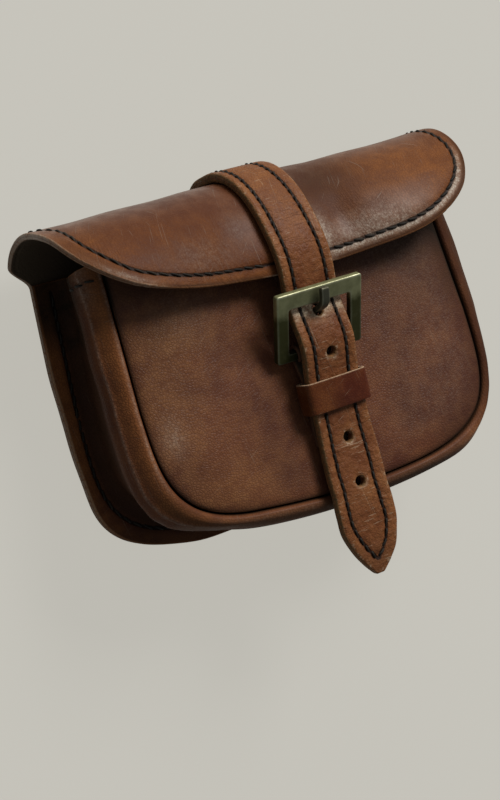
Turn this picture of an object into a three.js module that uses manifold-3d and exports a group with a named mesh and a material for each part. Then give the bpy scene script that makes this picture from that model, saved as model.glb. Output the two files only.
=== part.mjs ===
// A belt bag of aged brown leather: back and flap in one hide, a bulged front, a pleated gusset,
// and a strap that closes through a brass buckle and a leather keeper.
// Millimetres. The bag lies on its back: X to the right, Y towards its top, Z out of its front.
import * as THREE from "three";
import { mergeVertices } from "three/addons/utils/BufferGeometryUtils.js";
import Module from "manifold-3d";

// Leather thicknesses, and the clearance between neighbouring pieces
const HIDE_WALL = 2.6;
const FRONT_WALL = 2.0;
const GUSSET_WALL = 1.8;
const STRAP_WALL = 4.2;
const KEEPER_WALL = 1.4;
const CHAPE_WALL = 1.6;
const BELT_LOOP_WALL = 2.2;
const GAP = 0.3;

// Seam between front panel and gusset: a U, whose half width narrows towards the top
const SEAM_TOP_HALF = 77.9;
const SEAM_TOP_Y = 105.5;
const SEAM_BEND_HALF = 80.1;
const SEAM_BEND_Y = 58.4;
const SEAM_BOTTOM_Y = 6.8;
const SEAM_EXPONENT = 3.7;
const SEAM_SQUARING = 0.05; // exponent gained per millimetre outside the seam
const SEAM_BOTTOM_Z = 53.7;
const SEAM_TOP_Z = 40.2;
const POUCH_TOP_Y = 113;

// Back panel and flap: the flap is a little wider than the panel it grows from
const FLANGE_OUT = 12.4; // how far the back panel stands out beyond the seam
const ROLL_START_Y = 114.9;
const ROLL_BACK_RISE = 19.4;
const ROLL_BACK_DEPTH = 22;
const ROLL_FRONT_FALL = 33.7;
const ROLL_FRONT_DEPTH = 37.7;
const FLAP_FALL = 6.5; // straight stretch below the roll
const FLAP_HALF = 94.9;
const FLAP_CORNER = 44.3; // length of the flap's rounded lower corners
const FLAP_EXPONENT = 2.55;
const NECK_LENGTH = 11; // where the panel widens into the flap
const EAR = 2.6; // how much wider still the flap is just above the neck
const EAR_LENGTH = 40;
const FLAP_FLARE = 1.6; // outward lift of the flap's lower edge
const FLARE_LENGTH = 20;

// The strap presses a flat-bottomed valley into flap and front
const PRESS_HALF = 16;
const PRESS_FADE = 30;
const FLAP_PRESS = 7.3;
const FLAP_PRESS_SHARE = 0.8; // share of the front roll over which the press grows
const FRONT_PRESS = 4.0;
const FRONT_BULGE = 5.0;
const SEAM_TURN = 1.8; // depth to which the front's edge turns down into the seam
const SEAM_TURN_WIDTH = 1.6;

// Strap
const STRAP_HALF = 12.5;
const STRAP_BACK_END_Y = 86;
const STRAP_POINT = 24; // length of the pointed end
const STRAP_POINT_HALF = 1.6;
const STRAP_POINT_BOW = 0.9; // under 1 the point's sides bow out more
const HOLE_RADIUS = 2;
const HOLE_LENGTH = 4.2;
const HOLE_YS = [60.4, 43, 25.6, 7.2];
const PRONG_HOLE_Y = 77.2;
const PRONG_HOLE_LENGTH = 6.2;

// Buckle, tilted so that its upper bar stands out and its lower bar lies deep
const BUCKLE_WIDTH = 41;
const BUCKLE_HEIGHT = 29;
const BUCKLE_THICK = 3.0;
const BUCKLE_CORNER = 2.2;
const BUCKLE_SIDE_BAR = 5.6;
const BUCKLE_UPPER_BAR = 6.8;
const BUCKLE_LOWER_BAR = 3.4;
const BUCKLE_BEVEL = 0.6;
const BUCKLE_TILT = THREE.MathUtils.degToRad(22);
const BUCKLE_TOP_Y = 87.4; // the upper bar's outer edge
const BUCKLE_TOP_Z = 62.2;
const BAR_CLEARANCE = 2.5; // radius of what turns round the lower bar
const PRONG_WIDTH = 3.4;
const PRONG_THICK = 2.4;
const PRONG_CURL_WALL = 1.6;
const CHAPE_HALF = 12;

// Keeper loop round strap and chape
const KEEPER_LOW_Y = 38;
const KEEPER_HEIGHT = 12.5;
const KEEPER_BACK_Z = 50.6;
const KEEPER_FRONT_Z = 60.5;
const KEEPER_HALF = 14.8;
const KEEPER_CORNER = 2.4;

// Belt loops on the back
const BELT_LOOP_X = 50;
const BELT_LOOP_WIDTH = 28;
const BELT_LOOP_MID_Y = 69;
const BELT_LOOP_FLAT = 38; // flat middle that the bag rests on
const BELT_LOOP_RAMP = 8;
const BELT_LOOP_END = 12; // sewn end
const BELT_SLOT = 5.1; // room for a belt

const lerp = THREE.MathUtils.lerp;
const clamp = THREE.MathUtils.clamp;
const smoothstep = THREE.MathUtils.smoothstep;

// A material of the bag's own for each piece.
function finish(color, roughness, metalness) {
  return new THREE.MeshStandardMaterial({ color, roughness, metalness });
}

const bag = new THREE.Group();

function addPiece(name, geometry, material) {
  const mesh = new THREE.Mesh(geometry, material);
  mesh.name = name;
  bag.add(mesh);
  return mesh;
}

// Walls of leather

// A wall whose outer face is facePoint(u, v), with u x v pointing out, and whose inner face
// lies one wall thickness behind it. The four rims close it.
function leatherWall(facePoint, uSteps, vSteps, wall) {
  const step = 1e-3;
  const outer = [];
  const inner = [];
  for (let j = 0; j <= vSteps; j++) {
    for (let i = 0; i <= uSteps; i++) {
      const u = i / uSteps;
      const v = j / vSteps;
      const point = facePoint(u, v);
      const uBack = facePoint(Math.max(u - step, 0), v);
      const vBack = facePoint(u, Math.max(v - step, 0));
      const alongU = facePoint(Math.min(u + step, 1), v).sub(uBack);
      const alongV = facePoint(u, Math.min(v + step, 1)).sub(vBack);
      const normal = alongU.cross(alongV).normalize();
      outer.push(point);
      inner.push(point.clone().addScaledVector(normal, -wall));
    }
  }
  const front = (i, j) => j * (uSteps + 1) + i;
  const back = (i, j) => outer.length + front(i, j);
  const triangles = [];
  const quad = (a, b, c, d) => triangles.push(a, b, c, a, c, d);
  for (let j = 0; j < vSteps; j++) {
    for (let i = 0; i < uSteps; i++) {
      quad(front(i, j), front(i + 1, j), front(i + 1, j + 1), front(i, j + 1));
      quad(back(i, j), back(i, j + 1), back(i + 1, j + 1), back(i + 1, j));
    }
    quad(back(uSteps, j), back(uSteps, j + 1), front(uSteps, j + 1), front(uSteps, j));
    quad(back(0, j + 1), back(0, j), front(0, j), front(0, j + 1));
  }
  for (let i = 0; i < uSteps; i++) {
    quad(back(i, 0), back(i + 1, 0), front(i + 1, 0), front(i, 0));
    quad(back(i + 1, vSteps), back(i, vSteps), front(i, vSteps), front(i + 1, vSteps));
  }
  const geometry = new THREE.BufferGeometry().setFromPoints([...outer, ...inner]);
  geometry.setIndex(triangles);
  return geometry;
}

// A flat cut of leather with straight or curved sides and bowed ends, as a grid: u runs along its
// length, v across it. The ends' bow fades out along the length.
function cutPoint(cut, u, v) {
  const side = 2 * v - 1;
  const straight = lerp(cut.lowCorner.along, cut.highCorner.along, u);
  const lowBow = cut.lowEdge(side * cut.lowCorner.half) - cut.lowCorner.along;
  const highBow = cut.highEdge(side * cut.highCorner.half) - cut.highCorner.along;
  return {
    across: side * cut.halfWidth(straight),
    along: straight + (1 - u) ** 2 * lowBow + u ** 2 * highBow,
  };
}

// The U outline that lies a given distance outside the seam.
function uOutline(out) {
  return {
    topHalf: SEAM_TOP_HALF + out,
    bendHalf: SEAM_BEND_HALF + out,
    bottomY: SEAM_BOTTOM_Y - out,
    exponent: SEAM_EXPONENT + out * SEAM_SQUARING,
  };
}

function uHalfWidth(outline, y) {
  if (y >= SEAM_BEND_Y) {
    const climb = (y - SEAM_BEND_Y) / (SEAM_TOP_Y - SEAM_BEND_Y);
    return lerp(outline.bendHalf, outline.topHalf, climb);
  }
  const drop = Math.min((SEAM_BEND_Y - y) / (SEAM_BEND_Y - outline.bottomY), 1);
  return outline.bendHalf * (1 - drop ** outline.exponent) ** (1 / outline.exponent);
}

function uLowEdge(outline, x) {
  const reach = Math.min(Math.abs(x) / outline.bendHalf, 1);
  const drop = (1 - reach ** outline.exponent) ** (1 / outline.exponent);
  return SEAM_BEND_Y - (SEAM_BEND_Y - outline.bottomY) * drop;
}

// The point of the U's bend where it turns equally fast across and along.
function uCorner(outline) {
  const half = outline.bendHalf * 0.5 ** (1 / outline.exponent);
  return { half, along: uLowEdge(outline, half) };
}

function seamZ(y) {
  const climb = (y - SEAM_BOTTOM_Y) / (SEAM_TOP_Y - SEAM_BOTTOM_Y);
  return lerp(SEAM_BOTTOM_Z, SEAM_TOP_Z, climb);
}

// 1 under the strap, fading out to both sides of it.
function pressed(x) {
  const beyond = Math.max(Math.abs(x) - PRESS_HALF, 0) / PRESS_FADE;
  return Math.exp(-beyond * beyond);
}

// Back panel and flap

const rollTopY = ROLL_START_Y + ROLL_BACK_RISE;
const flapFrontY = rollTopY - ROLL_FRONT_FALL;
const flapFrontZ = ROLL_BACK_DEPTH + ROLL_FRONT_DEPTH;
const backOutline = uOutline(FLANGE_OUT);

// Side view of the hide's outer face, as (y, z): up the back, over the top, down the front.
const hidePath = new THREE.CurvePath();
hidePath.add(
  new THREE.LineCurve(
    new THREE.Vector2(backOutline.bottomY, 0),
    new THREE.Vector2(ROLL_START_Y, 0),
  ),
);
hidePath.add(
  new THREE.EllipseCurve(
    ROLL_START_Y, ROLL_BACK_DEPTH, ROLL_BACK_RISE, ROLL_BACK_DEPTH, -Math.PI / 2, 0,
  ),
);
hidePath.add(
  new THREE.EllipseCurve(
    flapFrontY, ROLL_BACK_DEPTH, ROLL_FRONT_FALL, ROLL_FRONT_DEPTH, 0, Math.PI / 2,
  ),
);
hidePath.add(
  new THREE.LineCurve(
    new THREE.Vector2(flapFrontY, flapFrontZ),
    new THREE.Vector2(flapFrontY - FLAP_FALL, flapFrontZ),
  ),
);
const hideLength = hidePath.getLength();
const [backLength, rollBackLength, rollFrontLength] = hidePath.curves.map((curve) => curve.getLength());
const rollTopAlong = backLength + rollBackLength;

// A point of the side view, and the outward direction there.
function hideFrame(along) {
  const step = 1e-4;
  const t = clamp(along / hideLength, step, 1 - step);
  const point = hidePath.getPoint(t);
  const tangent = hidePath.getPoint(t + step).sub(hidePath.getPoint(t - step)).normalize();
  return { point, out: new THREE.Vector2(tangent.y, -tangent.x) };
}

// Outward shift of the flap: pressed in under the strap, flared at its lower edge.
function flapShift(x, along) {
  const onFront = smoothstep(along, rollTopAlong, rollTopAlong + FLAP_PRESS_SHARE * rollFrontLength);
  const lip = smoothstep(along, hideLength - FLARE_LENGTH, hideLength);
  return FLAP_FLARE * lip - FLAP_PRESS * pressed(x) * onFront;
}

function hidePoint(x, along) {
  const { point, out } = hideFrame(along);
  point.addScaledVector(out, flapShift(x, along));
  return new THREE.Vector3(x, point.x, point.y);
}

const hideCut = {
  halfWidth(along) {
    const panel = uHalfWidth(backOutline, Math.min(along + backOutline.bottomY, ROLL_START_Y));
    const neck = smoothstep(along, backLength - NECK_LENGTH / 2, backLength + NECK_LENGTH / 2);
    const corner = Math.max(along - (hideLength - FLAP_CORNER), 0) / FLAP_CORNER;
    const flap = FLAP_HALF * (1 - corner ** FLAP_EXPONENT) ** (1 / FLAP_EXPONENT);
    const ear = EAR * (1 - smoothstep(along, backLength, backLength + EAR_LENGTH));
    return lerp(panel, flap + ear, neck);
  },
  lowEdge: (x) => uLowEdge(backOutline, x) - backOutline.bottomY,
  highEdge(x) {
    const reach = (1 - (Math.abs(x) / FLAP_HALF) ** FLAP_EXPONENT) ** (1 / FLAP_EXPONENT);
    return hideLength - FLAP_CORNER * (1 - reach);
  },
};
const backCorner = uCorner(backOutline);
const flapCornerHalf = FLAP_HALF * 0.5 ** (1 / FLAP_EXPONENT);
hideCut.lowCorner = { half: backCorner.half, along: backCorner.along - backOutline.bottomY };
hideCut.highCorner = { half: flapCornerHalf, along: hideCut.highEdge(flapCornerHalf) };

function hideFace(u, v) {
  const { across, along } = cutPoint(hideCut, u, v);
  return hidePoint(across, along);
}

const HIDE_GRID = { along: 38, across: 20 };
addPiece(
  "back_and_flap",
  leatherWall(hideFace, HIDE_GRID.along, HIDE_GRID.across, HIDE_WALL),
  finish(0x6b3a22, 0.5, 0),
);

// Front panel

const frontOutline = uOutline(-GAP);
const frontCut = {
  halfWidth: (y) => uHalfWidth(frontOutline, y),
  lowEdge: (x) => uLowEdge(frontOutline, x),
  highEdge: () => POUCH_TOP_Y,
  lowCorner: uCorner(frontOutline),
  highCorner: { half: uHalfWidth(frontOutline, POUCH_TOP_Y), along: POUCH_TOP_Y },
};

// Height of the front: the seam's own slope, the bulge, the strap's valley, the turned-down edge.
function frontZ(x, y) {
  const reach = Math.min(Math.abs(x) / Math.max(uHalfWidth(frontOutline, y), 1), 1);
  const bend = SEAM_BEND_Y - frontOutline.bottomY;
  const climb = clamp((y - frontOutline.bottomY) / bend, 0, 1);
  const crown = (1 - reach ** 4) * (1 - (1 - climb) ** 3);
  const toEdge = Math.min((1 - reach) * SEAM_BEND_HALF, y - uLowEdge(frontOutline, x));
  const turn = Math.exp(-Math.max(toEdge, 0) / SEAM_TURN_WIDTH);
  return seamZ(y) + crown * (FRONT_BULGE - FRONT_PRESS * pressed(x)) - SEAM_TURN * turn;
}

// Rows and columns crowd towards the seam, where the leather turns down.
function frontFace(u, v) {
  const crowdedV = (1 - Math.cos(Math.PI * v)) / 2;
  const crowdedU = 1 - Math.cos((Math.PI / 2) * u);
  const { across, along } = cutPoint(frontCut, crowdedU, crowdedV);
  return new THREE.Vector3(across, along, frontZ(across, along));
}

const FRONT_GRID = { along: 14, across: 20 };
addPiece(
  "front_panel",
  leatherWall((u, v) => frontFace(v, u), FRONT_GRID.across, FRONT_GRID.along, FRONT_WALL),
  finish(0x5a2f20, 0.5, 0),
);

// Gusset

// Its section from the flange on the back panel to the seam: distance outside the seam on the
// bag's sides and at its bottom, share of the way from flange to seam, and rise above that.
const flangeZ = HIDE_WALL + GAP + GUSSET_WALL;
const GUSSET_SECTION = [
  { sideOut: FLANGE_OUT, bottomOut: FLANGE_OUT, share: 0, rise: 0 }, // flange edge
  { sideOut: 8.5, bottomOut: 8.5, share: 0, rise: 0 },
  { sideOut: 4.6, bottomOut: 4.6, share: 0, rise: 0.3 }, // flange root
  { sideOut: 2.2, bottomOut: 2.2, share: 0.03, rise: 0.8 },
  { sideOut: 1.4, bottomOut: 1.4, share: 0.12, rise: 0 }, // pleat
  { sideOut: 2.8, bottomOut: 2.4, share: 0.28, rise: 0 },
  { sideOut: 5.6, bottomOut: 4.4, share: 0.5, rise: 0 },
  { sideOut: 8.6, bottomOut: 6.2, share: 1, rise: -13.5 },
  { sideOut: 9.7, bottomOut: 7.2, share: 1, rise: -9.4 }, // ridge
  { sideOut: 8.7, bottomOut: 6.8, share: 1, rise: -6 },
  { sideOut: 6.2, bottomOut: 5.6, share: 1, rise: -2.4 },
  { sideOut: 3.6, bottomOut: 3.6, share: 1, rise: 0.1 }, // rolled front edge
  { sideOut: 1.6, bottomOut: 1.6, share: 1, rise: 0.5 },
  { sideOut: 0.5, bottomOut: 0.5, share: 1, rise: -0.5 },
  { sideOut: GAP / 2, bottomOut: GAP / 2, share: 1, rise: -2.2 }, // seam
  { sideOut: GAP / 2, bottomOut: GAP / 2, share: 1, rise: -4.8 },
];

// The U from its left top, round the bottom, to its right top.
const U_SIDE_SHARE = 0.26; // share of the curve's parameter that each straight side takes

class UCurve extends THREE.Curve {
  constructor(out) {
    super();
    this.outline = uOutline(out);
  }

  getPoint(t, target = new THREE.Vector2()) {
    const side = t < 0.5 ? -1 : 1;
    const fromTop = Math.min(t, 1 - t) / U_SIDE_SHARE;
    if (fromTop < 1) {
      const y = lerp(POUCH_TOP_Y, SEAM_BEND_Y, fromTop);
      return target.set(side * uHalfWidth(this.outline, y), y);
    }
    const turn = (Math.PI * (t - U_SIDE_SHARE)) / (1 - 2 * U_SIDE_SHARE);
    const power = 2 / this.outline.exponent;
    const depth = SEAM_BEND_Y - this.outline.bottomY;
    return target.set(
      side * this.outline.bendHalf * Math.abs(Math.cos(turn)) ** power,
      SEAM_BEND_Y - depth * Math.max(Math.sin(turn), 0) ** power,
    );
  }
}

const seamCurve = new UCurve(0);

function gussetFace(u, v) {
  const t = seamCurve.getUtoTmapping(u);
  const { y } = seamCurve.getPoint(t);
  const depth = seamZ(y) - flangeZ;
  const drop = Math.max(SEAM_BEND_Y - y, 0) / (SEAM_BEND_Y - SEAM_BOTTOM_Y);
  const section = new THREE.SplineCurve(
    GUSSET_SECTION.map(({ sideOut, bottomOut, share, rise }) =>
      new THREE.Vector2(lerp(sideOut, bottomOut, drop * drop), flangeZ + share * depth + rise),
    ),
  ).getPoint(v);
  const onU = new UCurve(section.x).getPoint(t);
  return new THREE.Vector3(onU.x, onU.y, section.y);
}

const GUSSET_GRID = { along: 38, across: 24 };
addPiece(
  "gusset",
  leatherWall(gussetFace, GUSSET_GRID.along, GUSSET_GRID.across, GUSSET_WALL),
  finish(0x5c3320, 0.55, 0),
);

// Strap

// Its outer face below the flap, as height above the back at each distance up the bag.
const STRAP_FALL = [
  { y: 84, z: 57.6 }, // under the buckle's upper bar
  { y: 79.5, z: 57.9 },
  { y: 73, z: 59.6 },
  { y: 67.5, z: 61 },
  { y: 62.4, z: 61.2 }, // over the lower bar
  { y: 56.5, z: 60 },
  { y: 50, z: 58.8 }, // in the keeper
  { y: 38, z: 58.6 },
  { y: 25, z: 58.6 },
  { y: 12, z: 59.4 },
  { y: 4, z: 60 }, // over the bag's lower edge
  { y: -6, z: 60.1 },
  { y: -18, z: 59.8 },
  { y: -31.6, z: 59.2 }, // tip
];

function strapOnHide(along) {
  const { point, out } = hideFrame(along);
  return point.addScaledVector(out, flapShift(0, along) + GAP + STRAP_WALL);
}

const strapStart = STRAP_BACK_END_Y - backOutline.bottomY;
const strapOnHideSteps = 18; // points taken along the hide
const strapPath = new THREE.SplineCurve([
  ...Array.from({ length: strapOnHideSteps + 1 }, (_, i) =>
    strapOnHide(lerp(strapStart, hideLength, i / strapOnHideSteps)),
  ),
  ...STRAP_FALL.map(({ y, z }) => new THREE.Vector2(y, z)),
]);
const strapLength = strapPath.getLength();

function strapHalf(along) {
  const toTip = strapLength - along;
  if (toTip > STRAP_POINT) return STRAP_HALF;
  const taper = toTip / STRAP_POINT;
  return lerp(STRAP_POINT_HALF, STRAP_HALF, Math.sin((taper * Math.PI) / 2) ** STRAP_POINT_BOW);
}

function strapFace(u, v) {
  const point = strapPath.getPointAt(u);
  return new THREE.Vector3((2 * v - 1) * strapHalf(u * strapLength), point.x, point.y);
}

const wasm = await Module();
wasm.setup();

function solidFrom(geometry) {
  const bare = geometry.index ? geometry.toNonIndexed() : geometry.clone();
  bare.deleteAttribute("normal");
  bare.deleteAttribute("uv");
  const merged = mergeVertices(bare, 1e-3);
  return new wasm.Manifold(
    new wasm.Mesh({
      numProp: 3,
      vertProperties: merged.attributes.position.array,
      triVerts: new Uint32Array(merged.index.array),
    }),
  );
}

function geometryFrom(solid) {
  const { vertProperties, triVerts } = solid.getMesh();
  return new THREE.BufferGeometry()
    .setAttribute("position", new THREE.BufferAttribute(vertProperties, 3))
    .setIndex(new THREE.BufferAttribute(triVerts, 1));
}

// A punch that stands through the strap: two half rounds, apart for the hole drawn long by the prong.
function strapPunch(y, length) {
  const half = length / 2 - HOLE_RADIUS;
  const outline = new THREE.Shape();
  outline.absarc(0, half, HOLE_RADIUS, 0, Math.PI, false);
  outline.absarc(0, -half, HOLE_RADIUS, Math.PI, 2 * Math.PI, false);
  const punch = new THREE.ExtrudeGeometry(outline, {
    depth: flapFrontZ,
    bevelEnabled: false,
    curveSegments: 6,
  });
  return punch.translate(0, y, SEAM_TOP_Z);
}

const punches = [
  strapPunch(PRONG_HOLE_Y, PRONG_HOLE_LENGTH),
  ...HOLE_YS.map((y) => strapPunch(y, HOLE_LENGTH)),
];
const STRAP_GRID = { along: 76, across: 2 };
const strapSolid = punches.reduce(
  (strap, punch) => strap.subtract(solidFrom(punch)),
  solidFrom(leatherWall(strapFace, STRAP_GRID.along, STRAP_GRID.across, STRAP_WALL)),
);
addPiece("strap", geometryFrom(strapSolid), finish(0x8a4c26, 0.5, 0));

// Buckle frame and prong

const tiltedDown = new THREE.Vector2(-Math.cos(BUCKLE_TILT), -Math.sin(BUCKLE_TILT));
const buckleMiddle = new THREE.Vector2(BUCKLE_TOP_Y, BUCKLE_TOP_Z)
  .addScaledVector(tiltedDown, BUCKLE_HEIGHT / 2);
const lowerBar = new THREE.Vector2(BUCKLE_TOP_Y, BUCKLE_TOP_Z)
  .addScaledVector(tiltedDown, BUCKLE_HEIGHT - BUCKLE_LOWER_BAR / 2);

function roundedRectangle(left, bottom, right, top, radius, target = new THREE.Shape()) {
  target.absarc(right - radius, top - radius, radius, 0, Math.PI / 2, false);
  target.absarc(left + radius, top - radius, radius, Math.PI / 2, Math.PI, false);
  target.absarc(left + radius, bottom + radius, radius, Math.PI, 1.5 * Math.PI, false);
  target.absarc(right - radius, bottom + radius, radius, 1.5 * Math.PI, 2 * Math.PI, false);
  target.closePath();
  return target;
}

function buckleFrame() {
  const half = BUCKLE_WIDTH / 2 - BUCKLE_BEVEL;
  const tall = BUCKLE_HEIGHT / 2 - BUCKLE_BEVEL;
  const windowHalf = BUCKLE_WIDTH / 2 - BUCKLE_SIDE_BAR + BUCKLE_BEVEL;
  const windowLow = -BUCKLE_HEIGHT / 2 + BUCKLE_LOWER_BAR - BUCKLE_BEVEL;
  const windowHigh = BUCKLE_HEIGHT / 2 - BUCKLE_UPPER_BAR + BUCKLE_BEVEL;
  const outline = roundedRectangle(-half, -tall, half, tall, BUCKLE_CORNER - BUCKLE_BEVEL);
  outline.holes.push(
    roundedRectangle(-windowHalf, windowLow, windowHalf, windowHigh, BUCKLE_BEVEL * 2, new THREE.Path()),
  );
  const geometry = new THREE.ExtrudeGeometry(outline, {
    depth: BUCKLE_THICK - 2 * BUCKLE_BEVEL,
    bevelThickness: BUCKLE_BEVEL,
    bevelSize: BUCKLE_BEVEL,
    bevelSegments: 1,
    curveSegments: 4,
  });
  return geometry.translate(0, 0, BUCKLE_BEVEL - BUCKLE_THICK / 2);
}

const frame = addPiece("buckle_frame", buckleFrame(), finish(0x5a5636, 0.4, 1));
frame.position.set(0, buckleMiddle.x, buckleMiddle.y);
frame.rotation.x = BUCKLE_TILT;

// A side view in (y, z), carried across the bag from -halfWidth to halfWidth.
function extrudeAcross(shape, halfWidth) {
  const geometry = new THREE.ExtrudeGeometry(shape, {
    depth: 2 * halfWidth,
    bevelEnabled: false,
    curveSegments: 8,
  });
  const toSideView = new THREE.Matrix4().makeBasis(
    new THREE.Vector3(0, 1, 0),
    new THREE.Vector3(0, 0, 1),
    new THREE.Vector3(1, 0, 0),
  );
  return geometry.applyMatrix4(toSideView).translate(-halfWidth, 0, 0);
}

// A band of even thickness along a curve, as a closed outline.
function bandShape(curve, thickness) {
  const steps = 18;
  const upper = [];
  const lower = [];
  for (let i = 0; i <= steps; i++) {
    const point = curve.getPoint(i / steps);
    const tangent = curve.getTangent(i / steps);
    const side = new THREE.Vector2(-tangent.y, tangent.x).multiplyScalar(thickness / 2);
    upper.push(point.clone().add(side));
    lower.push(point.clone().sub(side));
  }
  return new THREE.Shape([...lower, ...upper.reverse()]);
}

function ringShape(center, innerRadius, outerRadius) {
  const ring = new THREE.Shape().absarc(center.x, center.y, outerRadius, 0, 2 * Math.PI, false);
  ring.holes.push(new THREE.Path().absarc(center.x, center.y, innerRadius, 0, 2 * Math.PI, false));
  return ring;
}

// The prong's middle line, from its curl on the lower bar, up through the strap, over the upper bar.
const PRONG_LINE = [
  { y: 65.4, z: 52.9 },
  { y: 70, z: 53.1 },
  { y: 75.2, z: 53.2 },
  { y: 77.1, z: 55.8 },
  { y: 78.2, z: 60 },
  { y: 79.6, z: 63.2 },
  { y: 81.8, z: 64.8 },
  { y: 86, z: 66 },
];
const prongCurve = new THREE.SplineCurve(PRONG_LINE.map(({ y, z }) => new THREE.Vector2(y, z)));
const prongShaft = extrudeAcross(bandShape(prongCurve, PRONG_THICK), PRONG_WIDTH / 2);
const prongCurl = extrudeAcross(
  ringShape(lowerBar, BAR_CLEARANCE, BAR_CLEARANCE + PRONG_CURL_WALL),
  PRONG_WIDTH / 2,
);
addPiece(
  "buckle_prong",
  geometryFrom(solidFrom(prongShaft).add(solidFrom(prongCurl))),
  finish(0x3c3a28, 0.4, 1),
);

// Chape: a tab folded round the lower bar, slit for the prong, sewn flat to the front panel

const chapeSlitHalf = PRONG_WIDTH / 2 + GAP;
// Its middle line, from the fold down to the sewn end
const CHAPE_LINE = [
  { y: 58.9, z: 52.6 },
  { y: 54, z: 53.1 },
  { y: 38, z: 53.1 },
  { y: 31, z: 52.5 },
  { y: 24, z: 53.2 },
];
const chapeCurve = new THREE.SplineCurve(CHAPE_LINE.map(({ y, z }) => new THREE.Vector2(y, z)));
const chapeTab = extrudeAcross(bandShape(chapeCurve, CHAPE_WALL), CHAPE_HALF);
const chapeFold = extrudeAcross(
  ringShape(lowerBar, BAR_CLEARANCE, BAR_CLEARANCE + CHAPE_WALL),
  CHAPE_HALF,
);
const slitLength = 4 * (BAR_CLEARANCE + CHAPE_WALL);
const chapeSlit = new THREE.BoxGeometry(2 * chapeSlitHalf, slitLength, slitLength)
  .translate(0, lowerBar.x + GAP, lowerBar.y);
const chapeSolid = solidFrom(chapeFold).add(solidFrom(chapeTab)).subtract(solidFrom(chapeSlit));
addPiece("buckle_chape", geometryFrom(chapeSolid), finish(0x5a2c1a, 0.6, 0));

// Keeper loop

const keeperShape = roundedRectangle(
  -KEEPER_HALF,
  KEEPER_BACK_Z,
  KEEPER_HALF,
  KEEPER_FRONT_Z,
  KEEPER_CORNER,
);
keeperShape.holes.push(
  roundedRectangle(
    KEEPER_WALL - KEEPER_HALF,
    KEEPER_BACK_Z + KEEPER_WALL,
    KEEPER_HALF - KEEPER_WALL,
    KEEPER_FRONT_Z - KEEPER_WALL,
    KEEPER_CORNER - KEEPER_WALL,
    new THREE.Path(),
  ),
);
const keeper = addPiece(
  "keeper_loop",
  new THREE.ExtrudeGeometry(keeperShape, {
    depth: KEEPER_HEIGHT,
    bevelEnabled: false,
    curveSegments: 5,
  }),
  finish(0x4a1e16, 0.45, 0),
);
keeper.rotation.x = Math.PI / 2;
keeper.position.y = KEEPER_LOW_Y + KEEPER_HEIGHT;

// Belt loops: sewn at both ends, raised in the middle to let a belt through

function beltLoopShape() {
  const low = -GAP - BELT_LOOP_WALL / 2;
  const raised = -BELT_SLOT - BELT_LOOP_WALL / 2;
  const half = BELT_LOOP_FLAT / 2;
  const profile = [
    { y: half + BELT_LOOP_RAMP + BELT_LOOP_END, z: low },
    { y: half + BELT_LOOP_RAMP, z: low },
    { y: half, z: raised },
  ];
  const upper = [];
  const lower = [];
  for (const { y, z } of profile) {
    upper.push(new THREE.Vector2(y, z + BELT_LOOP_WALL / 2));
    lower.push(new THREE.Vector2(y, z - BELT_LOOP_WALL / 2));
  }
  const mirrored = (points) => points.map((point) => new THREE.Vector2(-point.x, point.y));
  return new THREE.Shape([
    ...upper,
    ...mirrored(upper).reverse(),
    ...mirrored(lower),
    ...lower.toReversed(),
  ]);
}

for (const [side, x] of [["left", -BELT_LOOP_X], ["right", BELT_LOOP_X]]) {
  const strip = extrudeAcross(beltLoopShape(), BELT_LOOP_WIDTH / 2);
  const loop = addPiece(`belt_loop_${side}`, strip, finish(0x4c2818, 0.6, 0));
  loop.position.set(x, BELT_LOOP_MID_Y, 0);
}

// The whole bag stands on the belt loops, centred over the origin.
const part = new THREE.Group();
part.add(bag);
const extent = new THREE.Box3().setFromObject(bag, true);
const middle = extent.getCenter(new THREE.Vector3());
bag.position.set(-middle.x, -middle.y, -extent.min.z);

export default part;
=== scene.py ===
"""A belt bag of aged brown leather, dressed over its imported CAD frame."""

import bpy
import numpy as np
from mathutils import Matrix, Vector


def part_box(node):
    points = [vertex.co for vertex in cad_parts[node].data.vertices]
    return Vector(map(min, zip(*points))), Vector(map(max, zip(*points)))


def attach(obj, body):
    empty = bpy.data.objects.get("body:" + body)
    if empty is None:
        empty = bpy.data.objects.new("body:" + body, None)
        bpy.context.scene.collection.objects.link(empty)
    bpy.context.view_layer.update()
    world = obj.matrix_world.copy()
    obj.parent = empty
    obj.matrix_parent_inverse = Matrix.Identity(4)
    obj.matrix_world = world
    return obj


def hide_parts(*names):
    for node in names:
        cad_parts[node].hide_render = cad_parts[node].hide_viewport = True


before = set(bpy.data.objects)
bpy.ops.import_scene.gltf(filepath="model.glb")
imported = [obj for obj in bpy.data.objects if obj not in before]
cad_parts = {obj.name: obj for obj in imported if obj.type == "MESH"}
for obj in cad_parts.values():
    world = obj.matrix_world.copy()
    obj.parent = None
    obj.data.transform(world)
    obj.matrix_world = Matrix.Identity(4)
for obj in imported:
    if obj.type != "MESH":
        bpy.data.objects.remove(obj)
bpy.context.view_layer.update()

# Back and flap
# One hide of 2.6 mm leather is cut for the back panel and the flap, rolled over the top of the bag and
# pressed in by the strap. Its edges are raw, and black thread runs about 5 mm inside the flap's edge.

MM = 0.001
HIDE_WALL = 2.6
HIDE_STEP = 1.2
# The front seam is a U; the back panel's edge is the same U, a flange's width outside it
SEAM_TOP_HALF = 77.9
SEAM_TOP_Y = 105.5
SEAM_BEND_HALF = 80.1
SEAM_BEND_Y = 58.4
SEAM_BOTTOM_Y = 6.8
SEAM_EXPONENT = 3.7
SEAM_SQUARING = 0.05
FLANGE_OUT = 12.4
BACK_LOW_Y = SEAM_BOTTOM_Y - FLANGE_OUT

# The bag's own millimetres start at the middle of its back face, level with the seam's zero line.
hide_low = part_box("back_and_flap")[0]
BAG_ORIGIN = np.array([0, hide_low.y / MM - BACK_LOW_Y, hide_low.z / MM])


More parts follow.
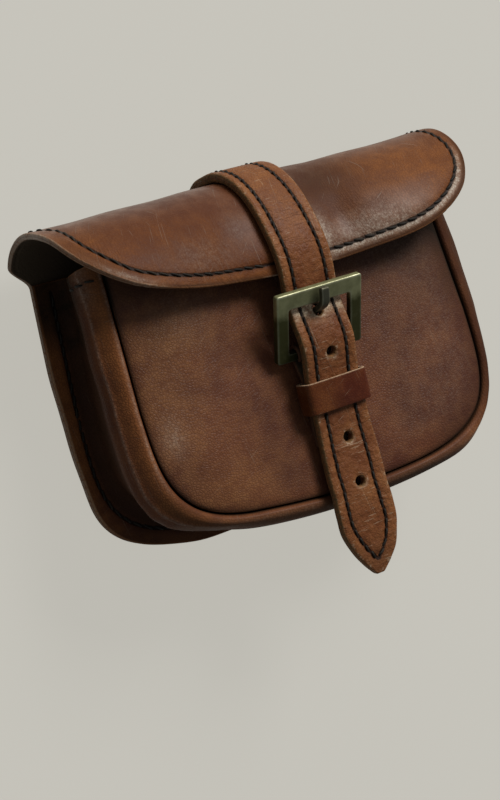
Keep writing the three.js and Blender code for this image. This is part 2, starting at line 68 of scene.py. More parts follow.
def smoothstep(value, low, high):
    """0 below low, 1 above high, and an eased climb between them."""
    t = np.clip((value - low) / (high - low), 0, 1)
    return t * t * (3 - 2 * t)


def falling(value, low, high):
    """1 below low, 0 above high, and an eased fall between them."""
    return 1 - smoothstep(value, low, high)


def bell(value, middle, width):
    """1 at the middle, falling away on both sides as a normal curve."""
    return np.exp(-(((value - middle) / width) ** 2))


def unevenness(a, b, size):
    """Gentle swells between -1 and 1: three crossing waves of about that size."""
    first = np.sin(2 * np.pi * (0.9 * a + 0.4 * b) / size + 0.7)
    second = np.sin(2 * np.pi * (0.3 * a - 1.1 * b) / size + 2.1)
    third = np.sin(2 * np.pi * (1.7 * a + 0.9 * b) / size + 4.0)
    return (first + second + third) / 3


def rounded_off(share, exponent):
    """Height of a superellipse between 0 and 1, at that share of its half width."""
    return (1 - share**exponent) ** (1 / exponent)


def superellipse(angle, exponent):
    """The point (x, y) at that angle round a superellipse between -1 and 1."""
    x = np.cos(angle)
    y = np.sin(angle)
    power = 2 / exponent
    return np.sign(x) * np.abs(x) ** power, np.sign(y) * np.abs(y) ** power


def u_exponent(out):
    """How square the bend is of the U that lies out millimetres outside the front seam."""
    return SEAM_EXPONENT + SEAM_SQUARING * out


def u_half_width(out, y):
    """Half width of that U at height y: straight sides that lean in towards the top, and half a
    superellipse below the bend."""
    lean = (SEAM_TOP_HALF - SEAM_BEND_HALF) / (SEAM_TOP_Y - SEAM_BEND_Y)
    drop = np.clip((SEAM_BEND_Y - y) / (SEAM_BEND_Y - SEAM_BOTTOM_Y + out), 0, 1)
    bend = (SEAM_BEND_HALF + out) * rounded_off(drop, u_exponent(out))
    return bend + lean * np.maximum(y - SEAM_BEND_Y, 0)


def u_low_edge(out, x):
    """Height of the same U's lower edge at x."""
    reach = np.minimum(np.abs(x) / (SEAM_BEND_HALF + out), 1)
    drop = rounded_off(reach, u_exponent(out))
    return SEAM_BEND_Y - (SEAM_BEND_Y - SEAM_BOTTOM_Y + out) * drop


def u_corner_half(out):
    """Where the U's bend turns equally fast across and along: half its power left on each axis."""
    return (SEAM_BEND_HALF + out) * 0.5 ** (1 / u_exponent(out))


def circle(angle):
    """The points (x, y) at those angles round a circle of radius 1."""
    return np.stack([np.cos(angle), np.sin(angle)], axis=1)


def unit(vectors):
    return vectors / np.linalg.norm(vectors, axis=-1, keepdims=True)


def length_along(line):
    """Length along a line of points, counted from its first one."""
    return np.concatenate([[0], np.cumsum(np.linalg.norm(np.diff(line, axis=0), axis=1))])


def path_frame(line):
    """Length along a side view of (y, z) points, and the unit normal to its left-hand outside."""
    along = length_along(line)
    tangent = unit(np.gradient(line, along, axis=0))
    return along, np.stack([tangent[:, 1], -tangent[:, 0]], axis=1)


def at_length(length, along, values):
    """Values that are known along a path, read at other lengths."""
    columns = [np.interp(length, along, values[:, k]) for k in range(values.shape[1])]
    return np.stack(columns, axis=-1)


# Side view of the hide: up the back, over two quarter ellipses, down the front.
ROLL_START_Y = 114.9
ROLL_BACK_RISE = 19.4
ROLL_BACK_DEPTH = 22.0
ROLL_FRONT_FALL = 33.7
ROLL_FRONT_DEPTH = 37.7
FLAP_FALL = 6.5
FLAP_SPARE = 3.0
quarter = np.linspace(0, np.pi / 2, 400)
roll_top_y = ROLL_START_Y + ROLL_BACK_RISE
flap_front_y = roll_top_y - ROLL_FRONT_FALL
flap_front_z = ROLL_BACK_DEPTH + ROLL_FRONT_DEPTH
flap_low_y = flap_front_y - FLAP_FALL
back_line = np.stack([np.linspace(BACK_LOW_Y, ROLL_START_Y, 200), np.zeros(200)], axis=1)
roll_back_y = ROLL_START_Y + ROLL_BACK_RISE * np.sin(quarter)
roll_back_z = ROLL_BACK_DEPTH * (1 - np.cos(quarter))
roll_back = np.stack([roll_back_y, roll_back_z], axis=1)
roll_front_y = flap_front_y + ROLL_FRONT_FALL * np.cos(quarter)
roll_front_z = ROLL_BACK_DEPTH + ROLL_FRONT_DEPTH * np.sin(quarter)
roll_front = np.stack([roll_front_y, roll_front_z], axis=1)
flap_end = np.array([(flap_low_y, flap_front_z), (flap_low_y - FLAP_SPARE, flap_front_z)])
hide_line = np.concatenate([back_line, roll_back[1:], roll_front[1:], flap_end])
hide_along, hide_out = path_frame(hide_line)
hide_length = hide_along[-2]
back_length = ROLL_START_Y - BACK_LOW_Y
roll_top_along = hide_along[len(back_line) + len(quarter) - 2]
roll_front_length = hide_length - FLAP_FALL - roll_top_along

# How the strap presses the flap, and how use has shifted hide and flange
PRESS_HALF = 16.0
PRESS_FADE = 30.0
FLAP_PRESS = 7.3
FLAP_PRESS_SHARE = 0.8
FLAP_FLARE = 1.6
FLARE_LENGTH = 20.0
FLAP_SWELL = 0.55
FLAP_DENT = 1.5
FLAP_GROWTH = 0.9
FLAP_CORNER_GROWTH = 1.9
ROLL_RIGHT_RISE = 2.1
ROLL_LEFT_SINK = 1.0
LEFT_SPREAD = 1.6
LEFT_TUCK = 1.0
LOW_DROOP = 1.5


def pressed(x):
    """1 under the strap, fading out to both sides of it."""
    return np.exp(-((np.maximum(np.abs(x) - PRESS_HALF, 0) / PRESS_FADE) ** 2))


def flap_shift(x, along):
    """How far the flap stands off its side view: pressed in by the strap, flared at its lower edge."""
    on_front = smoothstep(along, roll_top_along, roll_top_along + FLAP_PRESS_SHARE * roll_front_length)
    lip = smoothstep(along, hide_length - FLARE_LENGTH, hide_length)
    return FLAP_FLARE * lip - FLAP_PRESS * pressed(x) * on_front


def flange_spread(x, y):
    """How far use has moved the rim of the back, as (across, up): out at the upper left, in below that,
    and down at the left of its lower edge."""
    out = LEFT_TUCK * bell(y, 30, 12) - LEFT_SPREAD * smoothstep(y, 54, 80)
    droop = LOW_DROOP * bell(x, -44, 14) * falling(y, -4, 10)
    return out * smoothstep(-x, 82, 92), -droop


def hide_point(x, along):
    """The hide's outer face: its side view shifted outwards, with slack swells and a dent beside the strap.
    The roll has sunk on the left and stands up at its right end, and the flap's right corner is longer."""
    x, along = np.broadcast_arrays(x, along)
    growth = FLAP_GROWTH * smoothstep(x, 5, 20) + FLAP_CORNER_GROWTH * smoothstep(x, 30, 70)
    growth = growth * falling(x, 84, 95)
    spread, droop = flange_spread(x, along + BACK_LOW_Y)
    spread = spread * falling(along, roll_top_along, roll_top_along + 24)
    along = along + growth * smoothstep(along, hide_length - 50, hide_length - 12)
    beside = smoothstep(np.abs(x), 17, 34)
    free = smoothstep(along, back_length, back_length + 30)
    swell = FLAP_SWELL * beside * free * unevenness(x, along, 62)
    dent = FLAP_DENT * bell(x, 27, 7) * bell(along, hide_length - 17, 13)
    rise = ROLL_RIGHT_RISE * smoothstep(x, 80, 96) * bell(along, roll_top_along + 13, 13)
    sink = ROLL_LEFT_SINK * smoothstep(-x, 25, 60) * bell(along, roll_top_along + 6, 24)
    shift = flap_shift(x, along) + swell - dent + rise - sink
    line = at_length(along, hide_along, hide_line)
    line = line + shift[..., None] * at_length(along, hide_along, hide_out)
    return np.stack([x + spread, line[..., 0] + droop, line[..., 1]], axis=-1)


def normals_of(surface, a, b, step=0.05):
    """Unit normals of surface(a, b): the cross product of its slopes along b and along a."""
    along_a = surface(a + step, b) - surface(a - step, b)
    along_b = surface(a, b + step) - surface(a, b - step)
    return unit(np.cross(along_b, along_a))


# The cut of the flap: its width, its round corners, the neck above the back panel, and the ears
FLAP_HALF = 94.9
FLAP_CORNER = 44.3
FLAP_EXPONENT = 2.55
FLAP_TRIM = 0.9
NECK_LENGTH = 11.0
NECK_RAISE = 2.5
EAR = 2.6
EAR_LENGTH = 40.0


def hide_half_width(along):
    """Half width of the cut: the back's U, a neck, then the flap with its ears and rounded corners."""
    panel = u_half_width(FLANGE_OUT, np.minimum(along + BACK_LOW_Y, ROLL_START_Y))
    neck = smoothstep(along - back_length - NECK_RAISE, -NECK_LENGTH / 2, NECK_LENGTH / 2)
    corner = np.clip((along - hide_length + FLAP_CORNER) / FLAP_CORNER, 0, 1)
    flap = FLAP_HALF * rounded_off(corner, FLAP_EXPONENT)
    ear = EAR * falling(along, back_length, back_length + EAR_LENGTH)
    return panel + (flap + ear - panel) * neck


def flap_trim(x):
    """How much shorter the flap is cut left of the strap."""
    return FLAP_TRIM * smoothstep(-x, 8, 34) * falling(-x, 62, 88)


def flap_edge(x):
    """Length along the hide at which the flap's lower edge lies, a superellipse across the flap."""
    reach = rounded_off(np.minimum(np.abs(x) / FLAP_HALF, 1), FLAP_EXPONENT)
    return hide_length - FLAP_CORNER * (1 - reach) - flap_trim(x)


# A wall of leather: finer steps towards its rims, which are rounded over, and grooves under its stitches
RIM_STEPS = (0, 0.06, 0.2, 0.45, 0.8)
RIM_WIDTH = 1.4
RIM_EXPONENT = 2.6
EDGE_ROUND = 0.9
STITCH_PULL = 0.3
STITCH_PULL_WIDTH = 1.3


def rim_shares(length, step):
    """Shares of a length from 0 to 1: even steps, and finer ones where the two rims round over."""
    rim = np.array(RIM_STEPS) / length
    middle = np.linspace(RIM_WIDTH / length, 1 - RIM_WIDTH / length, int(round(length / step)))
    return np.concatenate([rim, middle, 1 - rim[::-1]])


def cut_grid(u, v, half_width, low_edge, low_half, high_edge, high_half):
    """A flat cut of leather as a grid of (across, along): straight rows, whose first and last bow out to
    the cut's rounded ends, each bow fading with the square of the distance from its end."""
    low = low_edge(low_half)
    high = high_edge(high_half)
    side = 2 * v[None, :] - 1
    share = u[:, None]
    straight = low + (high - low) * share
    low_bow = (1 - share) ** 2 * (low_edge(side * low_half) - low)
    high_bow = share**2 * (high_edge(side * high_half) - high)
    return side * half_width(straight), straight + low_bow + high_bow


def distance_to(points, line, batches=80):
    """Distance of each point from the nearest point of a line, worked out in batches."""
    parts = np.array_split(points.reshape(-1, 3), batches)
    squares = [((part[:, None] - line[None]) ** 2).sum(axis=2).min(axis=1) for part in parts]
    return np.sqrt(np.concatenate(squares)).reshape(points.shape[:-1])


def grid_border(shape):
    """True on the border of a grid."""
    border = np.zeros(shape, bool)
    border[[0, -1], :] = True
    border[:, [0, -1]] = True
    return border


def grid_faces(index):
    """The quads of a grid of vertex numbers, facing along (rows x columns)."""
    corners = [index[:-1, :-1], index[1:, :-1], index[1:, 1:], index[:-1, 1:]]
    return np.stack(corners, axis=-1)


def add_piece(name, points, faces, finish, values=None):
    """A smooth mesh of quads at the bag's own millimetres, with named values on its points. It rides on
    the one body of the bag."""
    used, numbers = np.unique(faces, return_inverse=True)
    numbers = numbers.reshape(-1).astype(np.int32)
    mesh = bpy.data.meshes.new(name)
    mesh.vertices.add(len(used))
    mesh.vertices.foreach_set("co", ((points[used] + BAG_ORIGIN) * MM).astype(np.float32).ravel())
    mesh.loops.add(len(numbers))
    mesh.loops.foreach_set("vertex_index", numbers)
    mesh.polygons.add(len(faces))
    mesh.polygons.foreach_set("loop_start", np.arange(0, len(numbers), 4, dtype=np.int32))
    mesh.update(calc_edges=True)
    mesh.shade_smooth()
    for key, value in (values or {}).items():
        attribute = mesh.attributes.new(key, "FLOAT", "POINT")
        attribute.data.foreach_set("value", value[used].astype(np.float32))
    mesh.materials.append(finish)
    piece = bpy.data.objects.new(name, mesh)
    bpy.context.scene.collection.objects.link(piece)
    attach(piece, "root")
    return piece


def leather_wall(
    name, outer, normals, wall, finish,
    rims=None, kept=None, round_over=EDGE_ROUND, pull=STITCH_PULL, **values,
):
    """A closed wall of leather: its outer face, which its stitches draw in, and an inner face one wall
    behind it. Towards a rim both faces curve in, as a superellipse of the distance from the rim, and meet
    there on shared points. Further values go on the points of both faces."""
    rims = grid_border(outer.shape[:2]) if rims is None else rims
    edge = np.where(rims, 0, distance_to(outer, outer[rims]))
    drawn = pull * bell(values["seam"], 0, STITCH_PULL_WIDTH)
    closing = 1 - np.clip(edge / round_over, 0, 1)
    half = (wall - drawn) / 2 * rounded_off(closing, RIM_EXPONENT)
    middle = outer - normals * ((wall + drawn) / 2)[..., None]
    front = middle + normals * half[..., None]
    back = middle - normals * half[..., None]
    front_index = np.arange(edge.size).reshape(edge.shape)
    back_index = np.where(rims, front_index, front_index + edge.size)
    front_faces = grid_faces(front_index)
    back_faces = grid_faces(back_index)[..., ::-1]
    if kept is not None:
        front_faces = front_faces[kept]
        back_faces = back_faces[kept]
    faces = np.concatenate([front_faces.reshape(-1, 4), back_faces.reshape(-1, 4)])
    points = np.concatenate([front.reshape(-1, 3), back.reshape(-1, 3)])
    values = {"edge": edge, "flesh": np.zeros_like(edge), **values}
    for key, value in values.items():
        values[key] = np.tile(np.broadcast_to(value, edge.shape).ravel(), 2)
    values["flesh"][edge.size :] = 1
    return add_piece(name, points, faces, finish, values)


class Signal:
    """One output of a material's node. Arithmetic on it adds Math nodes to the same material."""

    def __init__(self, finish, socket):
        self.finish = finish
        self.socket = socket

    def math(self, operation, *values):
        return self.finish.node("ShaderNodeMath", {"operation": operation}, dict(enumerate(values)))

    def __add__(self, other):
        return self.math("ADD", self, other)

    __radd__ = __add__

    def __sub__(self, other):
        return self.math("SUBTRACT", self, other)

    def __rsub__(self, other):
        return self.math("SUBTRACT", other, self)

    def __mul__(self, other):
        return self.math("MULTIPLY", self, other)

    __rmul__ = __mul__

    def step(self, low, high):
        """0 below low, 1 above high, eased between."""
        return self.finish.node(
            "ShaderNodeMapRange",
            {"interpolation_type": "SMOOTHSTEP"},
            {"Value": self, "From Min": low, "From Max": high},
        )


ROLL_TILT = 0.6


class Finish:
    """A material in the making: nodes are added to it, and a surface ends it."""

    def __init__(self, name):
        self.material = bpy.data.materials.new(name)
        self.material.use_nodes = True
        self.tree = self.material.node_tree
        self.tree.nodes.clear()

    def node(self, kind, settings=None, inputs=None, output=0):
        """Adds a node, sets it up, fills or links its inputs, and returns one of its outputs."""
        node = self.tree.nodes.new(kind)
        for key, value in (settings or {}).items():
            setattr(node, key, value)
        for key, value in (inputs or {}).items():
            if isinstance(value, Signal):
                self.tree.links.new(value.socket, node.inputs[key])
            else:
                node.inputs[key].default_value = value
        return Signal(self, node.outputs[output]) if node.outputs else None

    def place(self):
        return self.node("ShaderNodeTexCoord", output="Object")

    def value(self, name):
        """A value that the mesh carries on its points."""
        return self.node("ShaderNodeAttribute", {"attribute_name": name}, output="Fac")

    def noise(self, place, size, detail=4.0, roughness=0.55):
        """Noise from 0 to 1 whose patches are about that many millimetres across."""
        inputs = {"Vector": place, "Scale": 1 / (size * MM), "Detail": detail, "Roughness": roughness}
        return self.node("ShaderNodeTexNoise", None, inputs)

    def streaks(self, place, turn, length, width):
        """Noise drawn out along one direction of the bag's front, turned by that angle, and tilted back
        so that it stays narrow on the top of the roll."""
        size = (length * MM, width * MM, length * MM)
        inputs = {"Vector": place, "Rotation": (ROLL_TILT, 0, turn), "Scale": size}
        turned = self.node("ShaderNodeMapping", {"vector_type": "TEXTURE"}, inputs)
        inputs = {"Vector": turned, "Scale": 1.0, "Detail": 2.0}
        return self.node("ShaderNodeTexNoise", None, inputs)

    def mix(self, first, second, share):
        """The first colour, going over to the second by that share."""
        inputs = {0: share, 6: first, 7: second}
        for key in (6, 7):
            if not isinstance(inputs[key], Signal):
                inputs[key] = (*inputs[key], 1)
        return self.node("ShaderNodeMix", {"data_type": "RGBA"}, inputs, output=2)

    def surface(self, color, roughness, height, **constants):
        """Ends the material: a Principled BSDF with a bump whose height is in millimetres."""
        bump = self.node("ShaderNodeBump", None, {"Strength": 1.0, "Distance": MM, "Height": height})
        inputs = {"Base Color": color, "Roughness": roughness, "Normal": bump, **constants}
        shader = self.node("ShaderNodeBsdfPrincipled", None, inputs)
        self.node("ShaderNodeOutputMaterial", None, {"Surface": shader})
        return self.material


# Near-black brown for dirt and for painted shade.
GRIME_AND_SHADE_COLOR = (0.019, 0.011, 0.006)
GROOVE_COLOR = (0.008, 0.005, 0.004)
FLESH_COLOR = (0.070, 0.047, 0.028)
CELL_SIZE = 1.15
CRACK_LENGTH = 7.0
CRACK_WIDTH = 0.8


def leather(
    name, deep, base, worn, raw,
    pale=None, roughness=0.42, grain=0.09, crepe=0.10, rub=0.5, gloss=0.10, cracks=0.0,
):
    """Waxed leather with age: patches of deeper and worn colour, a grain of small cells, fine wrinkles
    and scratches, pale raw rims, dark stitch grooves, and a plain dark flesh side. The mesh says where it
    is worn lighter or lifted by painted light, worn pale or given painted highlights, grimy or darkened by
    painted shade, and where it is polished. A band can crack across, by its own length and width, show
    pale creases and be chipped along its sides."""
    f = Finish(name)
    pale = pale or raw
    place = f.place()
    edge = f.value("edge")
    flesh = f.value("flesh")
    grime = f.value("grime")
    patina = f.noise(place, 26, 5).step(0.34, 0.66)
    blotch = f.noise(place, 6.5, 6, 0.62).step(0.36, 0.70)
    speck = f.noise(place, 1.1, 3)
    fleck = f.noise(place, 1.8, 5, 0.75).step(0.40, 0.62)
    cells = f.node(
        "ShaderNodeTexVoronoi",
        {"feature": "DISTANCE_TO_EDGE"},
        {"Vector": place, "Scale": 1 / (CELL_SIZE * MM)},
        output="Distance",
    ).step(0.0, 0.22)
    scratch = f.streaks(place, -1.35, 22, 0.35).step(0.68, 0.73)
    scratch = scratch + f.streaks(place, 0.5, 14, 0.35).step(0.69, 0.75)
    wrinkle = f.streaks(place, -1.05, 4.5, 0.7)
    groove = 1 - f.value("seam").step(0.40, 1.05)
    rim = 1 - edge.step(0.35, 0.95)
    band = (1 - edge.step(2.0, 6.0)) * (0.35 + 0.65 * blotch)
    # Towards the worn colour where the mesh asks: real rubbing, and painted light over shaded parts.
    rubbed = 0.9 * f.value("rub") * (0.7 + 0.3 * blotch)
    tone = f.mix(deep, base, patina)
    tone = f.mix(tone, worn, 0.26 * blotch + 0.10 * speck + rubbed)
    tone = f.mix(tone, deep, (1 - cells) * 0.4)
    tone = f.mix(tone, pale, scratch * 0.25)
    tone = f.mix(tone, worn, rub * band)
    # Towards near-black where the mesh asks: real dirt, and painted shade.
    tone = f.mix(tone, GRIME_AND_SHADE_COLOR, grime * (0.8 + 0.2 * blotch))
    # Towards pale where the mesh asks: worn leather, and painted highlights.
    tone = f.mix(tone, pale, f.value("wear") * (0.3 + 0.7 * fleck) * (0.6 + 0.4 * cells))
    height = grain * cells + 0.05 * speck + crepe * wrinkle * patina
    height = height - 0.04 * scratch - 0.25 * groove
    if cracks:
        across = f.value("across") * (1 / CRACK_LENGTH)
        along = f.value("along") * (1 / CRACK_WIDTH)
        run = f.node("ShaderNodeCombineXYZ", None, {0: across, 1: along})
        crack = f.node("ShaderNodeTexNoise", None, {"Vector": run, "Scale": 1.0, "Detail": 3.0})
        split = cracks * crack.step(0.60, 0.68) * f.noise(place, 13, 3).step(0.42, 0.60)
        chip = (1 - edge.step(0.5, 2.4)) * f.noise(place, 2.0, 4, 0.7).step(0.54, 0.62)
        crease = 1 - (crack - 0.10 * f.value("crease")).step(0.30, 0.36)
        tone = f.mix(tone, pale, 0.65 * cracks * chip)
        tone = f.mix(tone, deep, 0.6 * split)
        tone = f.mix(tone, pale, cracks * 0.35 * crease)
        height = height - 0.22 * split + 0.75 * f.noise(place, 2.6, 2)
    cut = f.mix(worn, raw, speck.step(0.2, 0.6) * (1 - 1.2 * grime))
    tone = f.mix(tone, GROOVE_COLOR, 0.9 * groove)
    tone = f.mix(tone, cut, rim * (1 - 0.8 * grime))
    tone = f.mix(tone, deep, rim * (1 - edge.step(0.0, 0.022)) * 0.8)
    tone = f.mix(tone, FLESH_COLOR, flesh * (1 - rim))
    rough = roughness + 0.16 * blotch + 0.25 * rim + 0.22 * flesh - 0.06 * band + 0.35 * grime
    shine = 0.02 + 0.5 * f.value("shine") * (0.4 + 0.6 * blotch)
    constants = {"Coat Weight": shine, "Coat Roughness": 0.35, "Specular IOR Level": gloss}
    return f.surface(tone, rough, height + 0.15 * rim * speck, **constants)


def spots(across, along, *patches):
    """The sum of soft spots on a face. A patch is its strength, then its middle and width across, then the
    same along."""
    return sum(
        strength * bell(across, x, width) * bell(along, y, length)
        for strength, x, width, y, length in patches
    )


# Flap stitch line: down the flap's left side, round its lower edge, up its right side.
FLAP_STITCH_INSET = 5.0
FLAP_STITCH_START = 6.0
ROLL_STITCH_SHIFT = 2.6
LEFT_STITCH_SHIFT = 2.4
side_along = np.linspace(back_length + FLAP_STITCH_START, hide_length - FLAP_CORNER, 160)
up_roll = falling(side_along, back_length + 16, roll_top_along + 8)
side_x = hide_half_width(side_along) - (FLAP_STITCH_INSET - ROLL_STITCH_SHIFT * up_roll)
turn = np.linspace(0, np.pi, 700)[1:-1]
corner_x, corner_drop = superellipse(turn, FLAP_EXPONENT)
corner_x = (FLAP_STITCH_INSET - FLAP_HALF) * corner_x
corner_along = hide_length - FLAP_CORNER + (FLAP_CORNER - FLAP_STITCH_INSET) * corner_drop
flap_line_x = np.concatenate([-side_x, corner_x, side_x[::-1]])
flap_line_along = np.concatenate([side_along, corner_along, side_along[::-1]])
flap_line_along = flap_line_along - flap_trim(flap_line_x)
past_roll = smoothstep(flap_line_along, roll_top_along - 4, roll_top_along + 14)
left_side = smoothstep(-flap_line_x, 70, 86) * past_roll
flap_line_x = flap_line_x + LEFT_STITCH_SHIFT * left_side
flap_line = hide_point(flap_line_x, flap_line_along)
flap_line_normals = normals_of(hide_point, flap_line_x, flap_line_along)

# The line that sews gusset and back panel together, seen on the back face.
SEW_OUT = 6.9
SEW_TOP_Y = 108.0
sew_side_y = np.linspace(SEW_TOP_Y, SEAM_BEND_Y, 160)
sew_side_x = u_half_width(SEW_OUT, sew_side_y)
sew_x, sew_drop = superellipse(turn, u_exponent(SEW_OUT))
sew_x = np.concatenate([-sew_side_x, -(SEAM_BEND_HALF + SEW_OUT) * sew_x, sew_side_x[::-1]])
sew_low_y = SEAM_BEND_Y - (SEAM_BEND_Y - SEAM_BOTTOM_Y + SEW_OUT) * sew_drop
sew_y = np.concatenate([sew_side_y, sew_low_y, sew_side_y[::-1]])
back_line_points = np.stack([sew_x, sew_y, np.zeros_like(sew_x)], axis=1)

hide_across, hide_length_at = cut_grid(
    rim_shares(hide_length, HIDE_STEP),
    rim_shares(2 * FLAP_HALF, HIDE_STEP),
    hide_half_width,
    lambda x: u_low_edge(FLANGE_OUT, x) - BACK_LOW_Y,
    u_corner_half(FLANGE_OUT),
    flap_edge,
    FLAP_HALF * 0.5 ** (1 / FLAP_EXPONENT),
)
hide_face = hide_point(hide_across, hide_length_at)
hide_seam = distance_to(hide_face, np.concatenate([flap_line, back_line_points]))
hide_edge = distance_to(hide_face, hide_face[grid_border(hide_across.shape)])
from_end = hide_length - hide_length_at
right_part = smoothstep(hide_across, 10, 22)
left_part = smoothstep(-hide_across, 10, 22) * (1 - 0.9 * smoothstep(-hide_across, 56, 72))
on_flap = smoothstep(60 - from_end, 0, 30)
# Paler: a painted highlight along the right lip and on the flap's lower right, over real scuffs; a painted
# highlight in the dent beside the strap's right edge, on the left of the flap and along the left lip.
lip = bell(hide_edge, 3.6, 1.0) * right_part * falling(from_end, 24, 40)
left_lip = bell(hide_across, -77, 9) * bell(hide_edge, 1.6, 1.0) * falling(from_end, 20, 34)
scuff_and_highlight = bell(hide_across, 40, 22) * bell(from_end, 9, 9) * smoothstep(hide_edge, 3.6, 5.4)
hide_wear = 1.5 * lip + 0.45 * left_lip + 0.65 * scuff_and_highlight
hide_wear += spots(
    hide_across, from_end, (0.75, 14.5, 4.0, 13, 11), (0.14, -42, 17, 16, 9), (0.12, -20, 6, 29, 8)
)
# Lighter orange on the right of the flap, partly real rubbing and partly painted light; lighter also at its
# left end.
hide_rub = spots(hide_across, from_end, (0.95, 64, 30, 34, 24), (0.45, -90, 22, 36, 22))
# Darker right of the strap near its top and along the flap's cut edges. Painted shade at the far left of
# the flap's edge, and along the back panel's lower rim, on its underside.
hide_grime = spots(hide_across, from_end, (0.58, 24, 20, 42, 16))
hide_grime += 0.7 * falling(hide_edge, 1.3, 3.0) * right_part * on_flap
hide_grime += 0.7 * falling(hide_edge, 0.9, 1.8) * left_part * on_flap
hide_grime += 0.3 * bell(hide_across, -86, 13) * falling(hide_edge, 4, 6) * on_flap
hide_grime += 0.55 * falling(hide_edge, 3.0, 8.0) * falling(hide_length_at, 4, 34)
hide_shine = 2.0 - 0.7 * smoothstep(hide_across, 5, 30)
hide_shine *= bell(hide_length_at, roll_top_along + 4, 14)
hide_shine += spots(hide_across, from_end, (0.6, 44, 26, 14, 10), (0.25, -19, 12, 26, 10))
hide_leather = leather(
    "hide_leather",
    deep=(0.076, 0.021, 0.007),
    base=(0.094, 0.028, 0.008),
    worn=(0.198, 0.068, 0.017),
    raw=(0.33, 0.23, 0.155),
    pale=(0.42, 0.34, 0.26),
    grain=0.05,
    crepe=0.40,
    gloss=0.07,
)
back_and_flap = leather_wall(
    "back_and_flap_leather",
    hide_face,
    normals_of(hide_point, hide_across, hide_length_at),
    HIDE_WALL,
    hide_leather,
    seam=hide_seam,
    rub=hide_rub,
    wear=hide_wear,
    grime=hide_grime,
    shine=hide_shine,
)
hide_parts("back_and_flap")

# Stitches
# Waxed black thread, 0.9 mm thick or 1.1 mm where it is bold, is sewn by hand at 5 mm a stitch, and at
# 4 mm on the strap. Each stitch bows over the leather from hole to hole, a little askew to the line.

STITCH_PITCH = 5.0
STRAP_STITCH_PITCH = 4.0
STITCH_SHARE = 0.96
STITCH_SKEW = 0.5
STITCH_JITTER = 0.16
STITCH_SETTLE = 0.6
THREAD_RADIUS = 0.45
BOLD_THREAD_RADIUS = 0.56
THREAD_LIFT = 0.20
THREAD_SINK = 0.75
STRAP_COVER = 15.0
TO_FRONT = (0.0, 0.0, 1.0)
TO_BACK = (0.0, 0.0, -1.0)


def tube(centers, across, up, outline):
    """An outline of (across, up) points carried along paths of centres: arrays of paths x rings. Each tube
    is closed by rows of quads over its two ends."""
    ring = outline[:, 0, None] * across[..., None, :] + outline[:, 1, None] * up[..., None, :]
    points = centers[..., None, :] + ring
    tubes, rings, sides = points.shape[:3]
    index = np.arange(points[..., 0].size).reshape(tubes, rings, sides)
    after = np.roll(index, -1, axis=2)
    walls = np.stack([index[:, :-1], after[:, :-1], after[:, 1:], index[:, 1:]], axis=-1)
    low = np.arange(sides // 2 - 1)
    cap = np.stack([low, low + 1, sides - 2 - low, sides - 1 - low], axis=-1)
    first = index[:, 0][:, cap][..., ::-1]
    last = index[:, -1][:, cap]
    faces = np.concatenate([walls.reshape(-1, 4), first.reshape(-1, 4), last.reshape(-1, 4)])
    return points.reshape(-1, 3), faces


def stitch_row(line, normals, radius=THREAD_RADIUS, pitch=STITCH_PITCH, pull=STITCH_PULL):
    """Stitches along a line on the leather: each is a tube that bows up out of it and down again. The
    normals are one for each point of the line, or one for all."""
    normals = np.broadcast_to(normals, line.shape)
    along = length_along(line)
    count = int(along[-1] / pitch)
    starts = (along[-1] - count * pitch) / 2 + pitch * np.arange(count)
    share = np.linspace(-1, 1, 7)
    length = starts[:, None] + pitch / 2 * (1 + STITCH_SHARE * share)
    up = unit(at_length(length, along, normals))
    forward = unit(at_length(length + 0.5, along, line) - at_length(length - 0.5, along, line))
    across = unit(np.cross(forward, up))
    chance = np.random.default_rng(count)
    lift = THREAD_LIFT + STITCH_JITTER * chance.uniform(-0.6, 1, (count, 1))
    skew = STITCH_SKEW + STITCH_JITTER * chance.uniform(-1, 1, (count, 1))
    bow = np.abs(share) ** 3
    height = lift * (1 - bow) - THREAD_SINK * bow - STITCH_SETTLE * pull
    centers = at_length(length, along, line) + up * height[..., None]
    centers = centers + across * (skew * share)[..., None]
    return tube(centers, across, up, radius * circle(2 * np.pi * np.arange(6) / 6))


def join(parts):
    """Several sets of points and faces as one."""
    offsets = np.cumsum([0] + [len(points) for points, _ in parts[:-1]])
    points = np.concatenate([points for points, _ in parts])
    return points, np.concatenate([faces + offset for (_, faces), offset in zip(parts, offsets)])


def waxed_thread():
    """Black waxed thread: fibres catch a little light, and dust browns it here and there."""
    f = Finish("waxed_thread")
    place = f.place()
    dust = f.noise(place, 9, 4).step(0.45, 0.75)
    fibre = f.noise(place, 0.35, 2)
    color = f.mix((0.008, 0.006, 0.004), (0.044, 0.030, 0.017), 0.5 * dust + 0.25 * fibre)
    return f.surface(color, 0.55 + 0.2 * fibre, 0.15 * fibre, **{"Specular IOR Level": 0.2})


thread = waxed_thread()
shown = np.abs(flap_line_x) > STRAP_COVER
left_half = shown & (flap_line_x < 0)
right_half = shown & (flap_line_x > 0)
flap_rows = [
    stitch_row(flap_line[left_half], flap_line_normals[left_half]),
    stitch_row(flap_line[right_half], flap_line_normals[right_half], BOLD_THREAD_RADIUS),
]
add_piece("flap_stitches", *join(flap_rows), thread)
add_piece("back_stitches", *stitch_row(back_line_points[::-1], TO_BACK), thread)

# Gusset
# A strip of 1.8 mm leather joins front and back. It lies flat on the back panel as a flange, turns up in
# a pleat, bulges out to a soft ridge and rolls over into the front seam, which is sewn inside out.
# Black thread sews the flange to the back panel and holds the hems at the two tops.

GUSSET_WALL = 1.8
GUSSET_STEP = 0.9
ROUND_STEP = 1.5
CLEARANCE = 0.3
POUCH_TOP_Y = 113.0
U_SIDE_SHARE = 0.26
SEAM_BOTTOM_Z = 53.7
SEAM_TOP_Z = 40.2
FLANGE_Z = HIDE_WALL + CLEARANCE + GUSSET_WALL
